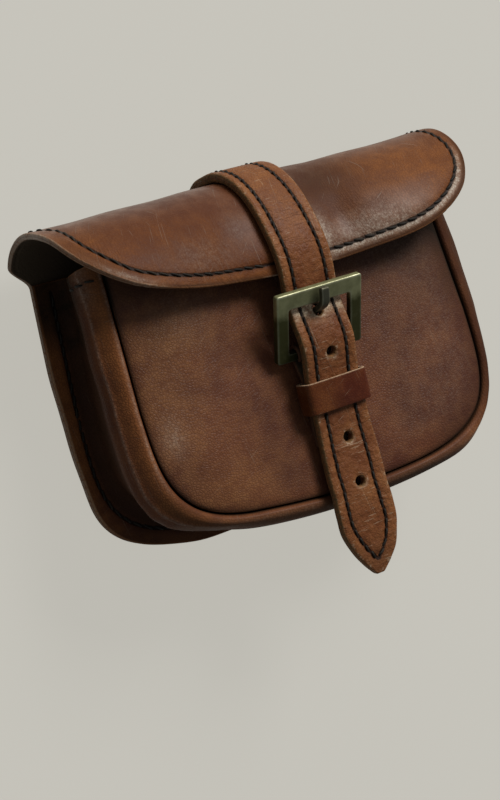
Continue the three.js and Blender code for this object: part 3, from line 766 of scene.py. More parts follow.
# Distance outside the seam on the sides and at the bottom, share of the way to the seam, rise above that
GUSSET_SECTION = np.array(
    [
        (FLANGE_OUT, FLANGE_OUT, 0, 0),
        (8.5, 8.5, 0, 0),
        (4.6, 4.6, 0, 0.3),
        (2.2, 2.2, 0.03, 0.8),
        (1.4, 1.4, 0.12, 0),
        (2.8, 2.4, 0.28, 0),
        (5.6, 4.4, 0.5, 0),
        (8.6, 6.2, 1, -13.5),
        (9.7, 7.2, 1, -9.4),
        (8.7, 6.8, 1, -6),
        (6.2, 5.6, 1, -2.4),
        (3.6, 3.6, 1, 0.1),
        (1.6, 1.6, 1, 0.5),
        (0.5, 0.5, 1, -0.5),
        (CLEARANCE / 2, CLEARANCE / 2, 1, -2.2),
        (CLEARANCE / 2, CLEARANCE / 2, 1, -4.8),
    ]
)
GUSSET_LAST_ROW = len(GUSSET_SECTION) - 1
GUSSET_WIDTH = 95.0
FOLD_RIDGE = 0.45
FOLD_ROW = 9.35
FOLD_CLIMB = 1.7
FINE_GATHERS = 34
FINE_GATHER = 0.12
SOFT_GATHERS = 7
SOFT_GATHER = 0.3
CORNER_SAG = 2.6
FLANGE_STITCH_SHARES = (0.02, 0.98)
FLANGE_STITCH_LIFT = 0.1
HEM_RISE = 4.5
HEM_STITCH_DROP = 5.0
HEM_STITCH_ROWS = (7.0, 11.4)
FINE_ROW = 10.2
FINE_ROWS = 1.4


def spline(points, share):
    """A Catmull-Rom curve through points, whose rows are the second last axis, at shares of its rows."""
    last = points.shape[-2] - 1
    row = np.minimum((share * last).astype(int), last - 1)
    t = (share * last - row)[:, None]
    p0, p1, p2, p3 = (points[..., np.clip(row + k, 0, last), :] for k in (-1, 0, 1, 2))
    start = (p2 - p0) / 2
    end = (p3 - p1) / 2
    cubic = 2 * p1 - 2 * p2 + start + end
    square = -3 * p1 + 3 * p2 - 2 * start - end
    return ((cubic * t + square) * t + start) * t + p1


def u_point(out, t):
    """The point (x, y) at share t of the U that lies out millimetres outside the seam, from its left top
    round the bottom to its right top."""
    from_top = np.minimum(np.minimum(t, 1 - t) / U_SIDE_SHARE, 1)
    angle = np.pi * np.clip((t - U_SIDE_SHARE) / (1 - 2 * U_SIDE_SHARE), 0, 1)
    across, drop = superellipse(angle, u_exponent(out))
    bend_x = (SEAM_BEND_HALF + out) * np.abs(across)
    bend_y = SEAM_BEND_Y - (SEAM_BEND_Y - SEAM_BOTTOM_Y + out) * np.abs(drop)
    side_y = POUCH_TOP_Y + (SEAM_BEND_Y - POUCH_TOP_Y) * from_top
    on_side = from_top < 1
    x = np.where(on_side, u_half_width(out, side_y), bend_x)
    return np.where(t < 0.5, -x, x), np.where(on_side, side_y, bend_y)


def seam_z(y):
    """Height of the front seam, which slopes towards the back as it climbs."""
    slope = (SEAM_TOP_Z - SEAM_BOTTOM_Z) / (SEAM_TOP_Y - SEAM_BOTTOM_Y)
    return SEAM_BOTTOM_Z + slope * (y - SEAM_BOTTOM_Y)


def sag(x, y):
    """How far the pouch hangs down on its lower right, where it has stretched."""
    return CORNER_SAG * smoothstep(x, -45, 0) * falling(y, 8, 58)


def seam_drop(seam_y):
    """Share of the way from the U's bend down to its bottom."""
    return np.clip((SEAM_BEND_Y - seam_y) / (SEAM_BEND_Y - SEAM_BOTTOM_Y), 0, 1)


def fold_row(seam_y):
    """Row of the section at which a sharp fold runs round the bulge: nearer the seam along the bottom."""
    return FOLD_ROW + FOLD_CLIMB * seam_drop(seam_y) ** 4


def folded(t):
    """How sharp the fold is round the U: full on the left, gone along the bottom, slight on the right."""
    return falling(t, 0.37, 0.46) + 0.4 * smoothstep(t, 0.64, 0.72)


def gusset_point(t, v):
    """The gusset's outer face: its section at the depth of the seam there, carried round the U. A fold
    runs along the bulge, soft gathers stand across it, and use has made it fuller here, slimmer there."""
    t = np.atleast_1d(t)
    _, seam_y = u_point(0, t)
    side_out, bottom_out, share, rise = GUSSET_SECTION.T
    outs = side_out + (bottom_out - side_out) * seam_drop(seam_y)[:, None] ** 2
    heights = FLANGE_Z + share * (seam_z(seam_y) - FLANGE_Z)[:, None] + rise
    section = spline(np.stack([outs, heights], axis=-1), v)
    row = v * GUSSET_LAST_ROW
    on_bulge = smoothstep(row, 5, 7) * falling(row, 9, 12)
    on_flange = falling(row, 2.5, 4)
    corner = bell(np.abs(t - 0.5), 0.17, 0.05)
    gather = FINE_GATHER * np.sin(2 * np.pi * FINE_GATHERS * t) * corner
    gather = gather + SOFT_GATHER * np.sin(2 * np.pi * SOFT_GATHERS * t + 1)
    right = smoothstep(t, 0.56, 0.64)
    full = 1.3 * right * smoothstep(seam_y, 52, 72) + 1.0 * bell(t, 0.5, 0.035)
    slim = 2.6 * right * bell(seam_y, 20, 20) + 1.6 * bell(t, 0.405, 0.035)
    slim = slim + 1.2 * bell(t, 0.437, 0.028) + 0.4 * bell(t, 0.52, 0.10)
    fold = FOLD_RIDGE * folded(t)[:, None] * bell(row, fold_row(seam_y)[:, None], 0.22)
    out = section[..., 0] + (gather + full - slim)[:, None] * on_bulge + fold
    x, y = u_point(out, t[:, None])
    hem = smoothstep(seam_y, POUCH_TOP_Y - 14, POUCH_TOP_Y)[:, None] * smoothstep(row, 6, 12)
    spread, droop = flange_spread(x, y)
    y = y + HEM_RISE * hem - sag(x, y) + droop * on_flange
    return np.stack([x + spread * on_flange, y, section[..., 1]], axis=-1)


def gusset_normals(t, v):
    """Unit normals from the slopes of the gusset's face along the U and across its section."""
    step = 1e-4
    along = gusset_point(np.clip(t + step, 0, 1), v) - gusset_point(np.clip(t - step, 0, 1), v)
    across = gusset_point(t, np.clip(v + step, 0, 1)) - gusset_point(t, np.clip(v - step, 0, 1))
    return unit(np.cross(along, across))


# Even steps round the U, by its length at the seam
u_fine = np.linspace(0, 1, 4000)
u_length = length_along(np.stack(u_point(0, u_fine), axis=1))
gusset_t = np.interp(rim_shares(u_length[-1], ROUND_STEP) * u_length[-1], u_length, u_fine)
gusset_v = rim_shares(GUSSET_WIDTH, GUSSET_STEP)
between_v = (gusset_v[1:] + gusset_v[:-1]) / 2
by_fold = np.abs(between_v * GUSSET_LAST_ROW - FINE_ROW) < FINE_ROWS
gusset_v = np.sort(np.concatenate([gusset_v, between_v[by_fold]]))
gusset_face = gusset_point(gusset_t, gusset_v)

flange_line_t = np.linspace(*FLANGE_STITCH_SHARES, 900)
flange_line_x, flange_line_y = u_point(np.array(SEW_OUT), flange_line_t)
flange_line_z = np.full_like(flange_line_x, FLANGE_Z + FLANGE_STITCH_LIFT)
flange_line = np.stack([flange_line_x, flange_line_y, flange_line_z], axis=1)
hem_t = np.interp([HEM_STITCH_DROP, u_length[-1] - HEM_STITCH_DROP], u_length, u_fine)
hem_v = np.linspace(*HEM_STITCH_ROWS, 200) / GUSSET_LAST_ROW
hem_lines = gusset_point(hem_t, hem_v)
hem_normals = gusset_normals(hem_t, hem_v)

# Worn colour, painted highlights and painted shade by the share round the U, the row of the section and the
# height
at = gusset_t[:, None]
row = gusset_v * GUSSET_LAST_ROW
up = gusset_face[..., 1]
fold = fold_row(u_point(0, gusset_t)[1])[:, None]
on_left = falling(at, 0.45, 0.62)
on_low = falling(up, 4, 16)
on_low_right = smoothstep(at, 0.52, 0.62) * falling(up, 8, 24)
on_high = smoothstep(up, 20, 40)
on_margin = falling(row, 1.0, 2.0)
# Paler lines along the fold and beside it, along the crest by the front seam, along the bottom bead and its
# lower right, and along the fold near the hem: painted highlights over creases worn pale.
gusset_wear = 0.42 * folded(at) * bell(row, fold, 0.13)
gusset_wear += 0.15 * bell(at, 0.385, 0.03) * bell(row, fold - 0.9, 0.7)
gusset_wear += 0.5 * on_left * on_high * bell(row, 11.9, 0.4)
gusset_wear += 0.12 * on_low * bell(row, 11.4, 0.6)
gusset_wear += 0.25 * smoothstep(at, 0.56, 0.64) * on_low * bell(row, 10.4, 1.2)
gusset_wear += 0.3 * on_left * smoothstep(up, 97, 107) * bell(row, fold, 0.8)
# Lighter orange along the left band beside the seam, partly real rubbing and partly painted light; painted
# light also up under the flap and on the bead's lower right; lighter on the flange's left margin.
gusset_rub = 1.1 * bell(row, 11.0, 1.3) * on_left
gusset_rub += 0.4 * bell(row, 10.6, 1.2) * on_left * smoothstep(up, 60, 90)
gusset_rub += 0.8 * on_margin * on_left * on_high
gusset_rub += 1.1 * on_low_right * bell(row, 10.6, 2.0)
# Darker: painted shade deep in the pleat, in the crease of the front seam, under the flap at the top, along
# the bead's underside and along the flange's lower margin. The right bead and the lower left corner are
# darker too.
dark_end = 5.4 + 1.8 * smoothstep(up, 60, 90)
in_pleat = smoothstep(row, 0.9, 2.0) * falling(row, dark_end, fold + 0.1)
gusset_grime = 0.82 * in_pleat + 0.9 * smoothstep(row, 12.6, 13.6)
gusset_grime += 0.65 * (1 - on_left) * (1 - on_low_right) * bell(row, 10, 2.8)
gusset_grime += smoothstep(up, 80, 99) * falling(row, 6.5, 8.0)
gusset_grime += 0.3 * on_left * smoothstep(up, 97, 105)
gusset_grime += 0.6 * bell(at, 0.35, 0.06) * bell(row, 10.8, 1.3)
gusset_grime += 0.65 * on_low * (1 - on_low_right) * bell(row, 10.8, 1.5)
gusset_grime += 0.5 * on_low * on_margin
gusset_leather = leather(
    "gusset_leather",
    deep=(0.070, 0.022, 0.011),
    base=(0.135, 0.047, 0.021),
    worn=(0.225, 0.080, 0.025),
    raw=(0.28, 0.16, 0.085),
    pale=(0.36, 0.25, 0.18),
    grain=0.07,
    gloss=0.05,
)
gusset = leather_wall(
    "gusset_leather_strip",
    gusset_face,
    gusset_normals(gusset_t, gusset_v),
    GUSSET_WALL,
    gusset_leather,
    seam=distance_to(gusset_face, np.concatenate([flange_line, *hem_lines])),
    rub=gusset_rub,
    wear=gusset_wear,
    grime=np.clip(gusset_grime, 0, 1),
    shine=0.35 * on_low * bell(row, 11.6, 0.9),
)
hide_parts("gusset")
gusset_rows = [stitch_row(flange_line, TO_FRONT)]
gusset_rows += [stitch_row(line, normals) for line, normals in zip(hem_lines, hem_normals)]
add_piece("gusset_stitches", *join(gusset_rows), thread)

# Front panel
# A piece of 2 mm leather, bulged by what the bag has carried and pressed flat under the strap. Its edge
# turns down into the seam all round the U, and its top lies hidden under the flap.

FRONT_WALL = 2.0
FRONT_STEP = 1.4
FRONT_BULGE = 5.0
FRONT_PRESS = 4.0
FRONT_WIDTH = 160.0
FRONT_HEIGHT = 106.0
FRONT_SWELL = 0.5
FRONT_FULL = 2.6
SEAM_TURN = 1.2
SEAM_TURN_WIDTH = 1.6
NO_SEAM = 99.0


def front_point(x, y):
    """Height over the U: the seam's slope, a bulge that dies out at the sides and the bottom, the strap's
    valley, slack swells, a fuller upper left, and an edge that turns down into the seam."""
    x, y = np.broadcast_arrays(x, y)
    reach = np.minimum(np.abs(x) / np.maximum(u_half_width(-CLEARANCE, y), 1), 1)
    low_y = SEAM_BOTTOM_Y + CLEARANCE
    climb = np.clip((y - low_y) / (SEAM_BEND_Y - low_y), 0, 1)
    crown = (1 - reach**4) * (1 - (1 - climb) ** 3)
    to_edge = np.minimum((1 - reach) * SEAM_BEND_HALF, y - u_low_edge(-CLEARANCE, x))
    turned = SEAM_TURN * np.exp(-np.maximum(to_edge, 0) / SEAM_TURN_WIDTH)
    swell = FRONT_SWELL * crown * smoothstep(np.abs(x), 16, 30) * unevenness(x, y, 58)
    swell += FRONT_FULL * crown * bell(x, -58, 22) * bell(y, 95, 17)
    z = seam_z(y) + crown * (FRONT_BULGE - FRONT_PRESS * pressed(x)) + swell - turned
    return np.stack([x, y - sag(x, y), z], axis=-1)


# The columns run from right to left, so that the faces look out of the bag.
front_across, front_up = cut_grid(
    rim_shares(FRONT_HEIGHT, FRONT_STEP),
    rim_shares(FRONT_WIDTH, FRONT_STEP)[::-1],
    lambda y: u_half_width(-CLEARANCE, y),
    lambda x: u_low_edge(-CLEARANCE, x),
    u_corner_half(-CLEARANCE),
    lambda x: np.full_like(np.asarray(x, float), POUCH_TOP_Y),
    u_half_width(-CLEARANCE, POUCH_TOP_Y),
)
front_face = front_point(front_across, front_up)
front_edge = distance_to(front_face, front_face[grid_border(front_across.shape)])
# Darker: painted shade where the edge turns down into the seam, painted shadow under the flap's edge at the
# upper left and upper right, and the strap's painted shadow beside its left edge. Darker also towards the
# right edge and low on the left.
front_grime = 0.8 * falling(front_edge, 0.3, 2.4)
front_grime += 0.35 * smoothstep(front_across, 30, 60) * falling(front_edge, 2, 14)
front_grime += 0.5 * smoothstep(front_across, 15, 45) * smoothstep(front_up, 78, 96)
front_grime += 0.30 * smoothstep(front_across, 35, 58) * smoothstep(front_up, 55, 75)
front_grime += 0.5 * smoothstep(-front_across, 15, 40) * smoothstep(front_up, 94, 104)
front_grime += spots(
    front_across, front_up, (0.16, -30, 15, 40, 16), (0.25, -27, 8, 16, 8), (0.14, -72, 8, 28, 10)
)
# Golden towards the left; lighter patches on the lower left and up under the flap on the left are painted
# light.
front_rub = 0.12 * falling(front_across, -40, 0)
front_rub += spots(
    front_across, front_up, (0.7, -70, 14, 52, 18), (0.6, -52, 20, 20, 11), (0.7, -60, 18, 82, 12)
)
# Paler: a painted grey sheen towards the right edge, and a painted highlight with grain on the lower left
# spot; a faint pale patch at the upper left.
front_wear = 0.14 * smoothstep(front_across, 15, 40) * smoothstep(front_edge, 4, 16)
front_wear += spots(front_across, front_up, (0.6, -71.5, 4.5, 46, 7), (0.2, -55, 16, 88, 12))
front_leather = leather(
    "front_leather",
    deep=(0.074, 0.023, 0.013),
    base=(0.138, 0.047, 0.021),
    worn=(0.215, 0.090, 0.032),
    raw=(0.05, 0.02, 0.012),
    pale=(0.32, 0.22, 0.15),
    roughness=0.38,
    grain=0.08,
    rub=0.0,
    gloss=0.12,
)
front_panel = leather_wall(
    "front_panel_leather",
    front_face,
    -normals_of(front_point, front_across, front_up),
    FRONT_WALL,
    front_leather,
    seam=NO_SEAM,
    rub=front_rub,
    wear=front_wear,
    grime=front_grime,
)
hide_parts("front_panel")

# Strap
# Two layers of leather, 25 mm wide and 4.2 mm thick together, sewn along both sides. It is fixed to the
# back, runs over the flap and through buckle and keeper, and ends in a point below the bag.

STRAP_WALL = 4.2
STRAP_STEP = 1.0
STRAP_HALF = 12.5
STRAP_BACK_END_Y = 86.0
STRAP_POINT = 24.0
STRAP_POINT_HALF = 1.6
STRAP_POINT_BOW = 0.9
STRAP_SPREAD = 1.1
STRAP_WAVE = 0.22
STRAP_PULL = 0.5
STRAP_PULL_WAVE = 0.7
STRAP_ROUND = 1.8
STRAP_LOOSE = 2.8
STRAP_STITCH_START = 3.0
STRAP_STITCH_END = 6.2
STRAP_STITCH_V = 2.4
STRAP_INSET = 4.7
TAIL_INSET = 1.7
ROLL_INSET = 1.2
ROLL_LEFT_INSET = 0.4
STITCH_LEAN = 1.4
TAIL_LEAN = 2.3
TAIL_PINCH = 0.6
HOLE_RADIUS = 2.0
HOLE_SQUARE = 2.5
HOLE_PATCH = 5.5
HOLE_YS = (60.4, 43.0, 25.6, 7.2)
PRONG_HOLE_Y = 77.7
PRONG_HOLE_STRETCH = 1.2
WINDOW_WEAR_Y = 79.0
STRAP_CREASE_YS = (22.1, 2.0, -8.4)
STRAP_CREASE_SLANT = 0.08
# Outer face below the flap, as (y, z): under the buckle's upper bar, over its lower bar, in the keeper,
# over the bag's lower edge, to the tip
STRAP_FALL = np.array(
    [
        (84, 57.6), (79.5, 57.9), (73, 59.6), (67.5, 61), (62.4, 61.2), (56.5, 60), (50, 58.8),
        (38, 58.6), (25, 58.6), (12, 59.4), (4, 60), (-6, 60.1), (-18, 59.8), (-31.6, 59.2),
    ]
)
on_hide = np.linspace(STRAP_BACK_END_Y - BACK_LOW_Y, hide_length, 19)
strap_lift = flap_shift(0.0, on_hide) + CLEARANCE + STRAP_WALL
strap_lift += STRAP_LOOSE * bell(on_hide, roll_top_along - 18, 8)
strap_on_hide = at_length(on_hide, hide_along, hide_line)
strap_on_hide += strap_lift[:, None] * at_length(on_hide, hide_along, hide_out)
strap_line = spline(np.concatenate([strap_on_hide, STRAP_FALL]), np.linspace(0, 1, 3000))
strap_along, strap_out = path_frame(strap_line)
strap_length = strap_along[-1]
front_part = strap_line[:, 1] > flap_front_z / 2


def strap_length_at(y):
    """Length along the strap at which its front reaches height y."""
    return np.interp(-np.asarray(y), -strap_line[front_part][:, 0], strap_along[front_part])


def strap_half(along):
    """Half width: even, a little stretched below the keeper, then bowing in to the point."""
    from_tip = strap_length - along
    share = np.sin(np.clip(from_tip / STRAP_POINT, 0, 1) * np.pi / 2) ** STRAP_POINT_BOW
    stretched = falling(from_tip, 40, 68)
    spread = (STRAP_SPREAD + STRAP_WAVE * unevenness(along, 0, 19)) * stretched
    return STRAP_POINT_HALF + (STRAP_HALF + spread - STRAP_POINT_HALF) * share


def band(x, along, path_along, path):
    """Points or normals of a band that is straight across and bent along its side view."""
    x, along = np.broadcast_arrays(x, along)
    return np.concatenate([x[..., None], at_length(along, path_along, path)], axis=-1)


def strap_point(x, along):
    return band(x, along, strap_along, strap_line)


def strap_normal(along):
    return unit(band(0.0, along, strap_along, strap_out))


def tail_lean(x, along):
    """How far the strap's right side has worn out of true: out near the point, in above that."""
    from_tip = strap_length - along
    lean = TAIL_LEAN * bell(from_tip, 5, 8) - TAIL_PINCH * bell(from_tip, 38, 9)
    return lean * smoothstep(x, 1, 12)


# Holes as (length along the strap, how much longer than wide)
strap_holes = [(strap_length_at(PRONG_HOLE_Y), PRONG_HOLE_STRETCH)]
strap_holes += [(strap_length_at(y), 1.0) for y in HOLE_YS]
hole_steps = np.array([HOLE_SQUARE, 2.57, 2.7, 2.95, 3.4, 4.2, HOLE_PATCH])
hole_middle = [-HOLE_SQUARE / 2, 0, HOLE_SQUARE / 2]
patch_rows = np.concatenate([-hole_steps[::-1], hole_middle, hole_steps])
rows = rim_shares(strap_length, STRAP_STEP) * strap_length
for middle, stretch in strap_holes:
    rows = rows[np.abs(rows - middle) > HOLE_PATCH * stretch + 0.2]
hole_rows = [middle + stretch * patch_rows for middle, stretch in strap_holes]
rows = np.sort(np.concatenate([rows, *hole_rows]))
side_columns = STRAP_HALF - np.array([*RIM_STEPS, 1.3, 1.9, 2.6, 3.3, 4.0, 4.7, 5.4, 6.2])
columns = np.concatenate([-side_columns, patch_rows, side_columns[::-1]])

strap_s, strap_x = np.meshgrid(rows, columns, indexing="ij")
strap_rims = grid_border(strap_x.shape)
strap_kept = np.ones((len(rows) - 1, len(columns) - 1), bool)
row_middles = (rows[1:, None] + rows[:-1, None]) / 2
column_middles = (columns[None, 1:] + columns[None, :-1]) / 2
for middle, stretch in strap_holes:
    # A square of the grid is pulled to the round hole, and the pull fades out over the patch
    square = np.maximum(np.abs(columns[None, :]), np.abs(rows[:, None] - middle) / stretch)
    radius = np.hypot(columns[None, :], (rows[:, None] - middle) / stretch)
    share = np.clip((square - HOLE_SQUARE) / (HOLE_PATCH - HOLE_SQUARE), 0, 1)
    pull = share + (1 - share) * HOLE_RADIUS / np.maximum(radius, 0.1)
    strap_x = np.where(square < HOLE_PATCH, strap_x * pull, strap_x)
    strap_s = np.where(square < HOLE_PATCH, middle + (strap_s - middle) * pull, strap_s)
    strap_rims |= np.abs(square - HOLE_SQUARE) < 1e-6
    face_square = np.maximum(np.abs(column_middles), np.abs(row_middles - middle) / stretch)
    strap_kept &= face_square > HOLE_SQUARE
strap_x = strap_x * strap_half(strap_s) / STRAP_HALF
strap_x = strap_x + tail_lean(strap_x, strap_s)

strap_face = strap_point(strap_x, strap_s)
strap_line_s = np.linspace(STRAP_STITCH_START, strap_length - STRAP_STITCH_END, 1200)
from_tip = strap_length - strap_line_s
on_tail = smoothstep(from_tip, 12, 30) * falling(from_tip, 46, 110)
on_roll = smoothstep(from_tip, 130, 175)
left_inset = STRAP_INSET - ROLL_LEFT_INSET * on_roll
right_inset = STRAP_INSET + TAIL_INSET * on_tail + ROLL_INSET * on_roll
stitched_half = strap_half(strap_line_s + STRAP_STITCH_V)
left_x = -np.maximum(stitched_half - left_inset, 0)
right_x = np.maximum(stitched_half - right_inset, 0)
right_x = right_x + STITCH_LEAN * tail_lean(right_x, strap_line_s)
strap_lines = [strap_point(x, strap_line_s) for x in (left_x, right_x)]

hole_wear = np.zeros(strap_x.shape)
strap_to_tip = strap_length - strap_s
strap_grime = 0.35 * falling(strap_to_tip, 3, 18)
for middle, stretch in strap_holes:
    radius = np.hypot(strap_x, (strap_s - middle) / stretch)
    below = smoothstep(strap_s - middle, -0.5, 2.0)
    hole_wear += bell(radius, 2.5, 0.45) * below
    strap_grime += bell(radius, 1.9, 0.5) * (1 - below)
window_wear = bell(strap_s, strap_length_at(WINDOW_WEAR_Y), 3.5)
slanted_s = strap_s - STRAP_CREASE_SLANT * strap_x
crease = sum(bell(slanted_s, strap_length_at(y), 2.4) for y in STRAP_CREASE_YS)
strap_leather = leather(
    "strap_leather",
    deep=(0.108, 0.032, 0.012),
    base=(0.178, 0.060, 0.019),
    worn=(0.262, 0.104, 0.034),
    raw=(0.128, 0.072, 0.029),
    pale=(0.58, 0.45, 0.30),
    grain=0.05,
    rub=0.4,
    cracks=0.6,
)
strap = leather_wall(
    "strap_leather_band",
    strap_face,
    strap_normal(strap_s),
    STRAP_WALL,
    strap_leather,
    strap_rims,
    strap_kept,
    EDGE_ROUND + (STRAP_ROUND - EDGE_ROUND) * smoothstep(np.abs(strap_x), 5.0, 7.5),
    STRAP_PULL * (1 + STRAP_PULL_WAVE * np.sin(2 * np.pi * strap_s / STRAP_STITCH_PITCH)),
    seam=distance_to(strap_face, np.concatenate(strap_lines)),
    rub=0.06 + 0.3 * smoothstep(strap_to_tip, 125, 165) + 0.3 * bell(strap_to_tip, 34, 12),
    wear=1.2 * window_wear + 0.6 * hole_wear,
    grime=strap_grime,
    across=strap_x,
    along=strap_s,
    crease=crease * falling(np.abs(strap_x), 5, 8),
)
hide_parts("strap")
strap_line_normals = strap_normal(strap_line_s)
strap_rows = [
    stitch_row(line, strap_line_normals, BOLD_THREAD_RADIUS, STRAP_STITCH_PITCH, STRAP_PULL)
    for line in strap_lines
]
add_piece("strap_stitches", *join(strap_rows), thread)

# Buckle frame
# A cast brass rectangle, 41 by 29 by 3 mm, its upper bar broader than its lower one. It is antiqued to a
# dark olive and darker towards its lower bar. Its edges are bright: worn metal, with a painted highlight
# along the top outer edge, strongest at its ends.

BUCKLE_WIDTH = 41.0
BUCKLE_HEIGHT = 29.0
BUCKLE_THICK = 3.0
BUCKLE_CORNER = 1.1
BUCKLE_SIDE_BAR = 5.6
BUCKLE_UPPER_BAR = 6.8
BUCKLE_LOWER_BAR = 3.4
BUCKLE_WINDOW_CORNER = 1.2
BUCKLE_TILT = np.radians(22)
BUCKLE_TOP = np.array([0, 87.4, 62.2])
buckle_right = np.array([1.0, 0, 0])
buckle_up = np.array([0, np.cos(BUCKLE_TILT), np.sin(BUCKLE_TILT)])
buckle_front = np.array([0, -np.sin(BUCKLE_TILT), np.cos(BUCKLE_TILT)])
buckle_middle = BUCKLE_TOP - buckle_up * BUCKLE_HEIGHT / 2


def rounded_rectangle(left, low, right, high, radius, corner_steps, side_steps):
    """A closed outline with round corners: four arcs, and straight sides cut into even steps."""
    angle = np.linspace(0, np.pi / 2, corner_steps)
    left, right = left + radius, right - radius
    low, high = low + radius, high - radius
    arcs = []
    for k, middle in enumerate([(right, high), (left, high), (left, low), (right, low)]):
        arcs.append(middle + radius * circle(angle + k * np.pi / 2))
    share = np.linspace(0, 1, side_steps + 1)[1:-1, None]
    sides = [arc[-1] + share * (arcs[(k + 1) % 4][0] - arc[-1]) for k, arc in enumerate(arcs)]
    return np.concatenate([part for pair in zip(arcs, sides) for part in pair])


def ring_faces(rows, sides):
    """The quads of a surface that closes on itself both ways."""
    index = np.arange(rows * sides).reshape(rows, sides)
    after = np.roll(index, -1, axis=0)
    corners = [index, after, np.roll(after, -1, axis=1), np.roll(index, -1, axis=1)]
    return np.stack(corners, axis=-1).reshape(-1, 4)


def soft_square(count, exponent):
    """Points round a square with soft corners, from -1 to 1 both ways."""
    return np.stack(superellipse(2 * np.pi * np.arange(count) / count, exponent), axis=1)


half_width = BUCKLE_WIDTH / 2
half_height = BUCKLE_HEIGHT / 2
window_half = half_width - BUCKLE_SIDE_BAR
window_low = BUCKLE_LOWER_BAR - half_height
window_high = half_height - BUCKLE_UPPER_BAR
frame_outer = rounded_rectangle(
    -half_width, -half_height, half_width, half_height, BUCKLE_CORNER, 9, 24
)
frame_window = rounded_rectangle(
    -window_half, window_low, window_half, window_high, BUCKLE_WINDOW_CORNER, 9, 24
)
frame_section = soft_square(40, 7)
frame_mid = (frame_outer + frame_window) / 2
frame_half = (frame_outer - frame_window) / 2
frame_plane = frame_mid[:, None] + frame_section[None, :, :1] * frame_half[:, None]
frame_points = buckle_middle + frame_plane[..., :1] * buckle_right + frame_plane[..., 1:] * buckle_up
frame_points = frame_points + frame_section[None, :, 1:] * BUCKLE_THICK / 2 * buckle_front
# The bright edge: worn metal all round, and a painted highlight along the top outer edge, strongest at its
# ends. The frame is darker towards its lower bar.
frame_corner = np.abs(frame_section).min(axis=1)
frame_top = smoothstep(frame_plane[..., 1], half_height - 1.2, half_height - 0.1)
frame_ends = 0.4 + 0.6 * smoothstep(np.abs(frame_plane[..., 0]), 8, 19)
frame_rubbed = smoothstep(frame_corner, 0.62, 0.9) * (0.2 + 0.8 * frame_top * frame_ends)
frame_darker_below = falling(frame_plane[..., 1], 2, 8)


def antique_brass(name, dark, metal, bright):
    """Antiqued brass: a dark olive patina in patches, darker where the mesh asks, and bright where the mesh
    asks: worn edges that show the metal, and painted highlights.
    """
    f = Finish(name)
    place = f.place()
    patina = f.noise(place, 5, 5).step(0.30, 0.75)
    speck = f.noise(place, 0.8, 4, 0.65)
    rubbed = f.value("rubbed") * (0.55 + 0.45 * patina)
    color = f.mix(metal, dark, f.value("darker_below") * 0.85 + (0.45 - 0.4 * patina))
    color = f.mix(color, bright, rubbed)
    rough = 0.46 + 0.18 * speck - 0.14 * rubbed
    return f.surface(color, rough, 0.07 * speck, Metallic=0.85)


aged_brass = antique_brass(
    "aged_brass", dark=(0.055, 0.053, 0.016), metal=(0.30, 0.292, 0.145), bright=(0.62, 0.60, 0.41)
)
buckle_frame = add_piece(
    "buckle_frame_brass",
    frame_points.reshape(-1, 3),
    ring_faces(len(frame_outer), len(frame_section))[:, ::-1],
    aged_brass,
    {"rubbed": frame_rubbed.ravel(), "darker_below": frame_darker_below.ravel()},
)
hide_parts("buckle_frame")

# Buckle prong
# A flat brass tongue, 3.8 mm wide, curled round the lower bar. It comes up through the strap's hole and
# lies over the upper bar, with a square end.

PRONG_WIDTH = 3.8
PRONG_THICK = 2.4
PRONG_CURL_RADIUS = 3.3
PRONG_END_TAPER = 0.22
PRONG_END_LENGTH = 0.6
PRONG_CURL = (75, 125, 175, 225, 275, 325)
# From the curl up through the hole to the upper bar, as (y, z)
PRONG_LINE = np.array(
    [(70, 53.1), (75.2, 53.2), (77.1, 55.8), (78.2, 60), (79.6, 63.2), (81.8, 64.8), (86, 66)]
)
lower_bar = (BUCKLE_TOP - buckle_up * (BUCKLE_HEIGHT - BUCKLE_LOWER_BAR / 2))[1:]


def round_bar(angles, radius):
    """Points round the buckle's lower bar, as (y, z), at angles in degrees."""
    return lower_bar + radius * circle(np.radians(np.asarray(angles, float)))


prong_curl = round_bar(PRONG_CURL, PRONG_CURL_RADIUS)
prong_line = spline(np.concatenate([prong_curl, PRONG_LINE]), np.linspace(0, 1, 90))
prong_along, prong_out = path_frame(prong_line)
from_prong_end = np.minimum(prong_along, prong_along[-1] - prong_along)
end_share = 1 - np.clip(from_prong_end / PRONG_END_LENGTH, 0, 1)
prong_size = (1 - PRONG_END_TAPER * end_share**2)[:, None]
prong_centers = band(0.0, prong_along, prong_along, prong_line)
prong_up = band(0.0, prong_along, prong_along, prong_out)
prong_square = soft_square(24, 5)
prong_points, prong_faces = tube(
    prong_centers[None],
    (buckle_right * prong_size)[None],
    (prong_up * prong_size)[None],
    prong_square * np.array([PRONG_WIDTH / 2, PRONG_THICK / 2]),
)
prong_corner = np.abs(prong_square).min(axis=1)
# Its edges are brighter: worn metal, and partly a painted highlight.
prong_rubbed = 0.4 * np.tile(smoothstep(prong_corner, 0.6, 0.9), len(prong_line))
dark_brass = antique_brass(
    "dark_brass", dark=(0.035, 0.034, 0.022), metal=(0.085, 0.080, 0.05), bright=(0.42, 0.40, 0.27)
)
buckle_prong = add_piece(
    "buckle_prong_brass", prong_points, prong_faces, dark_brass, {"rubbed": prong_rubbed}
)
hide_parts("buckle_prong")

# Buckle chape
# A tab of 1.6 mm leather, folded round the buckle's lower bar, slit for the prong and sewn to the front
# panel under the strap, where it is hidden.

CHAPE_WALL = 1.6
CHAPE_HALF = 12.0
CHAPE_SLIT_HALF = 2.0
CHAPE_FOLD_RADIUS = 3.3
CHAPE_SLIT_Y = 58.0
CHAPE_FOLD = (215, 265, 315, 365, 415, 465, 500)
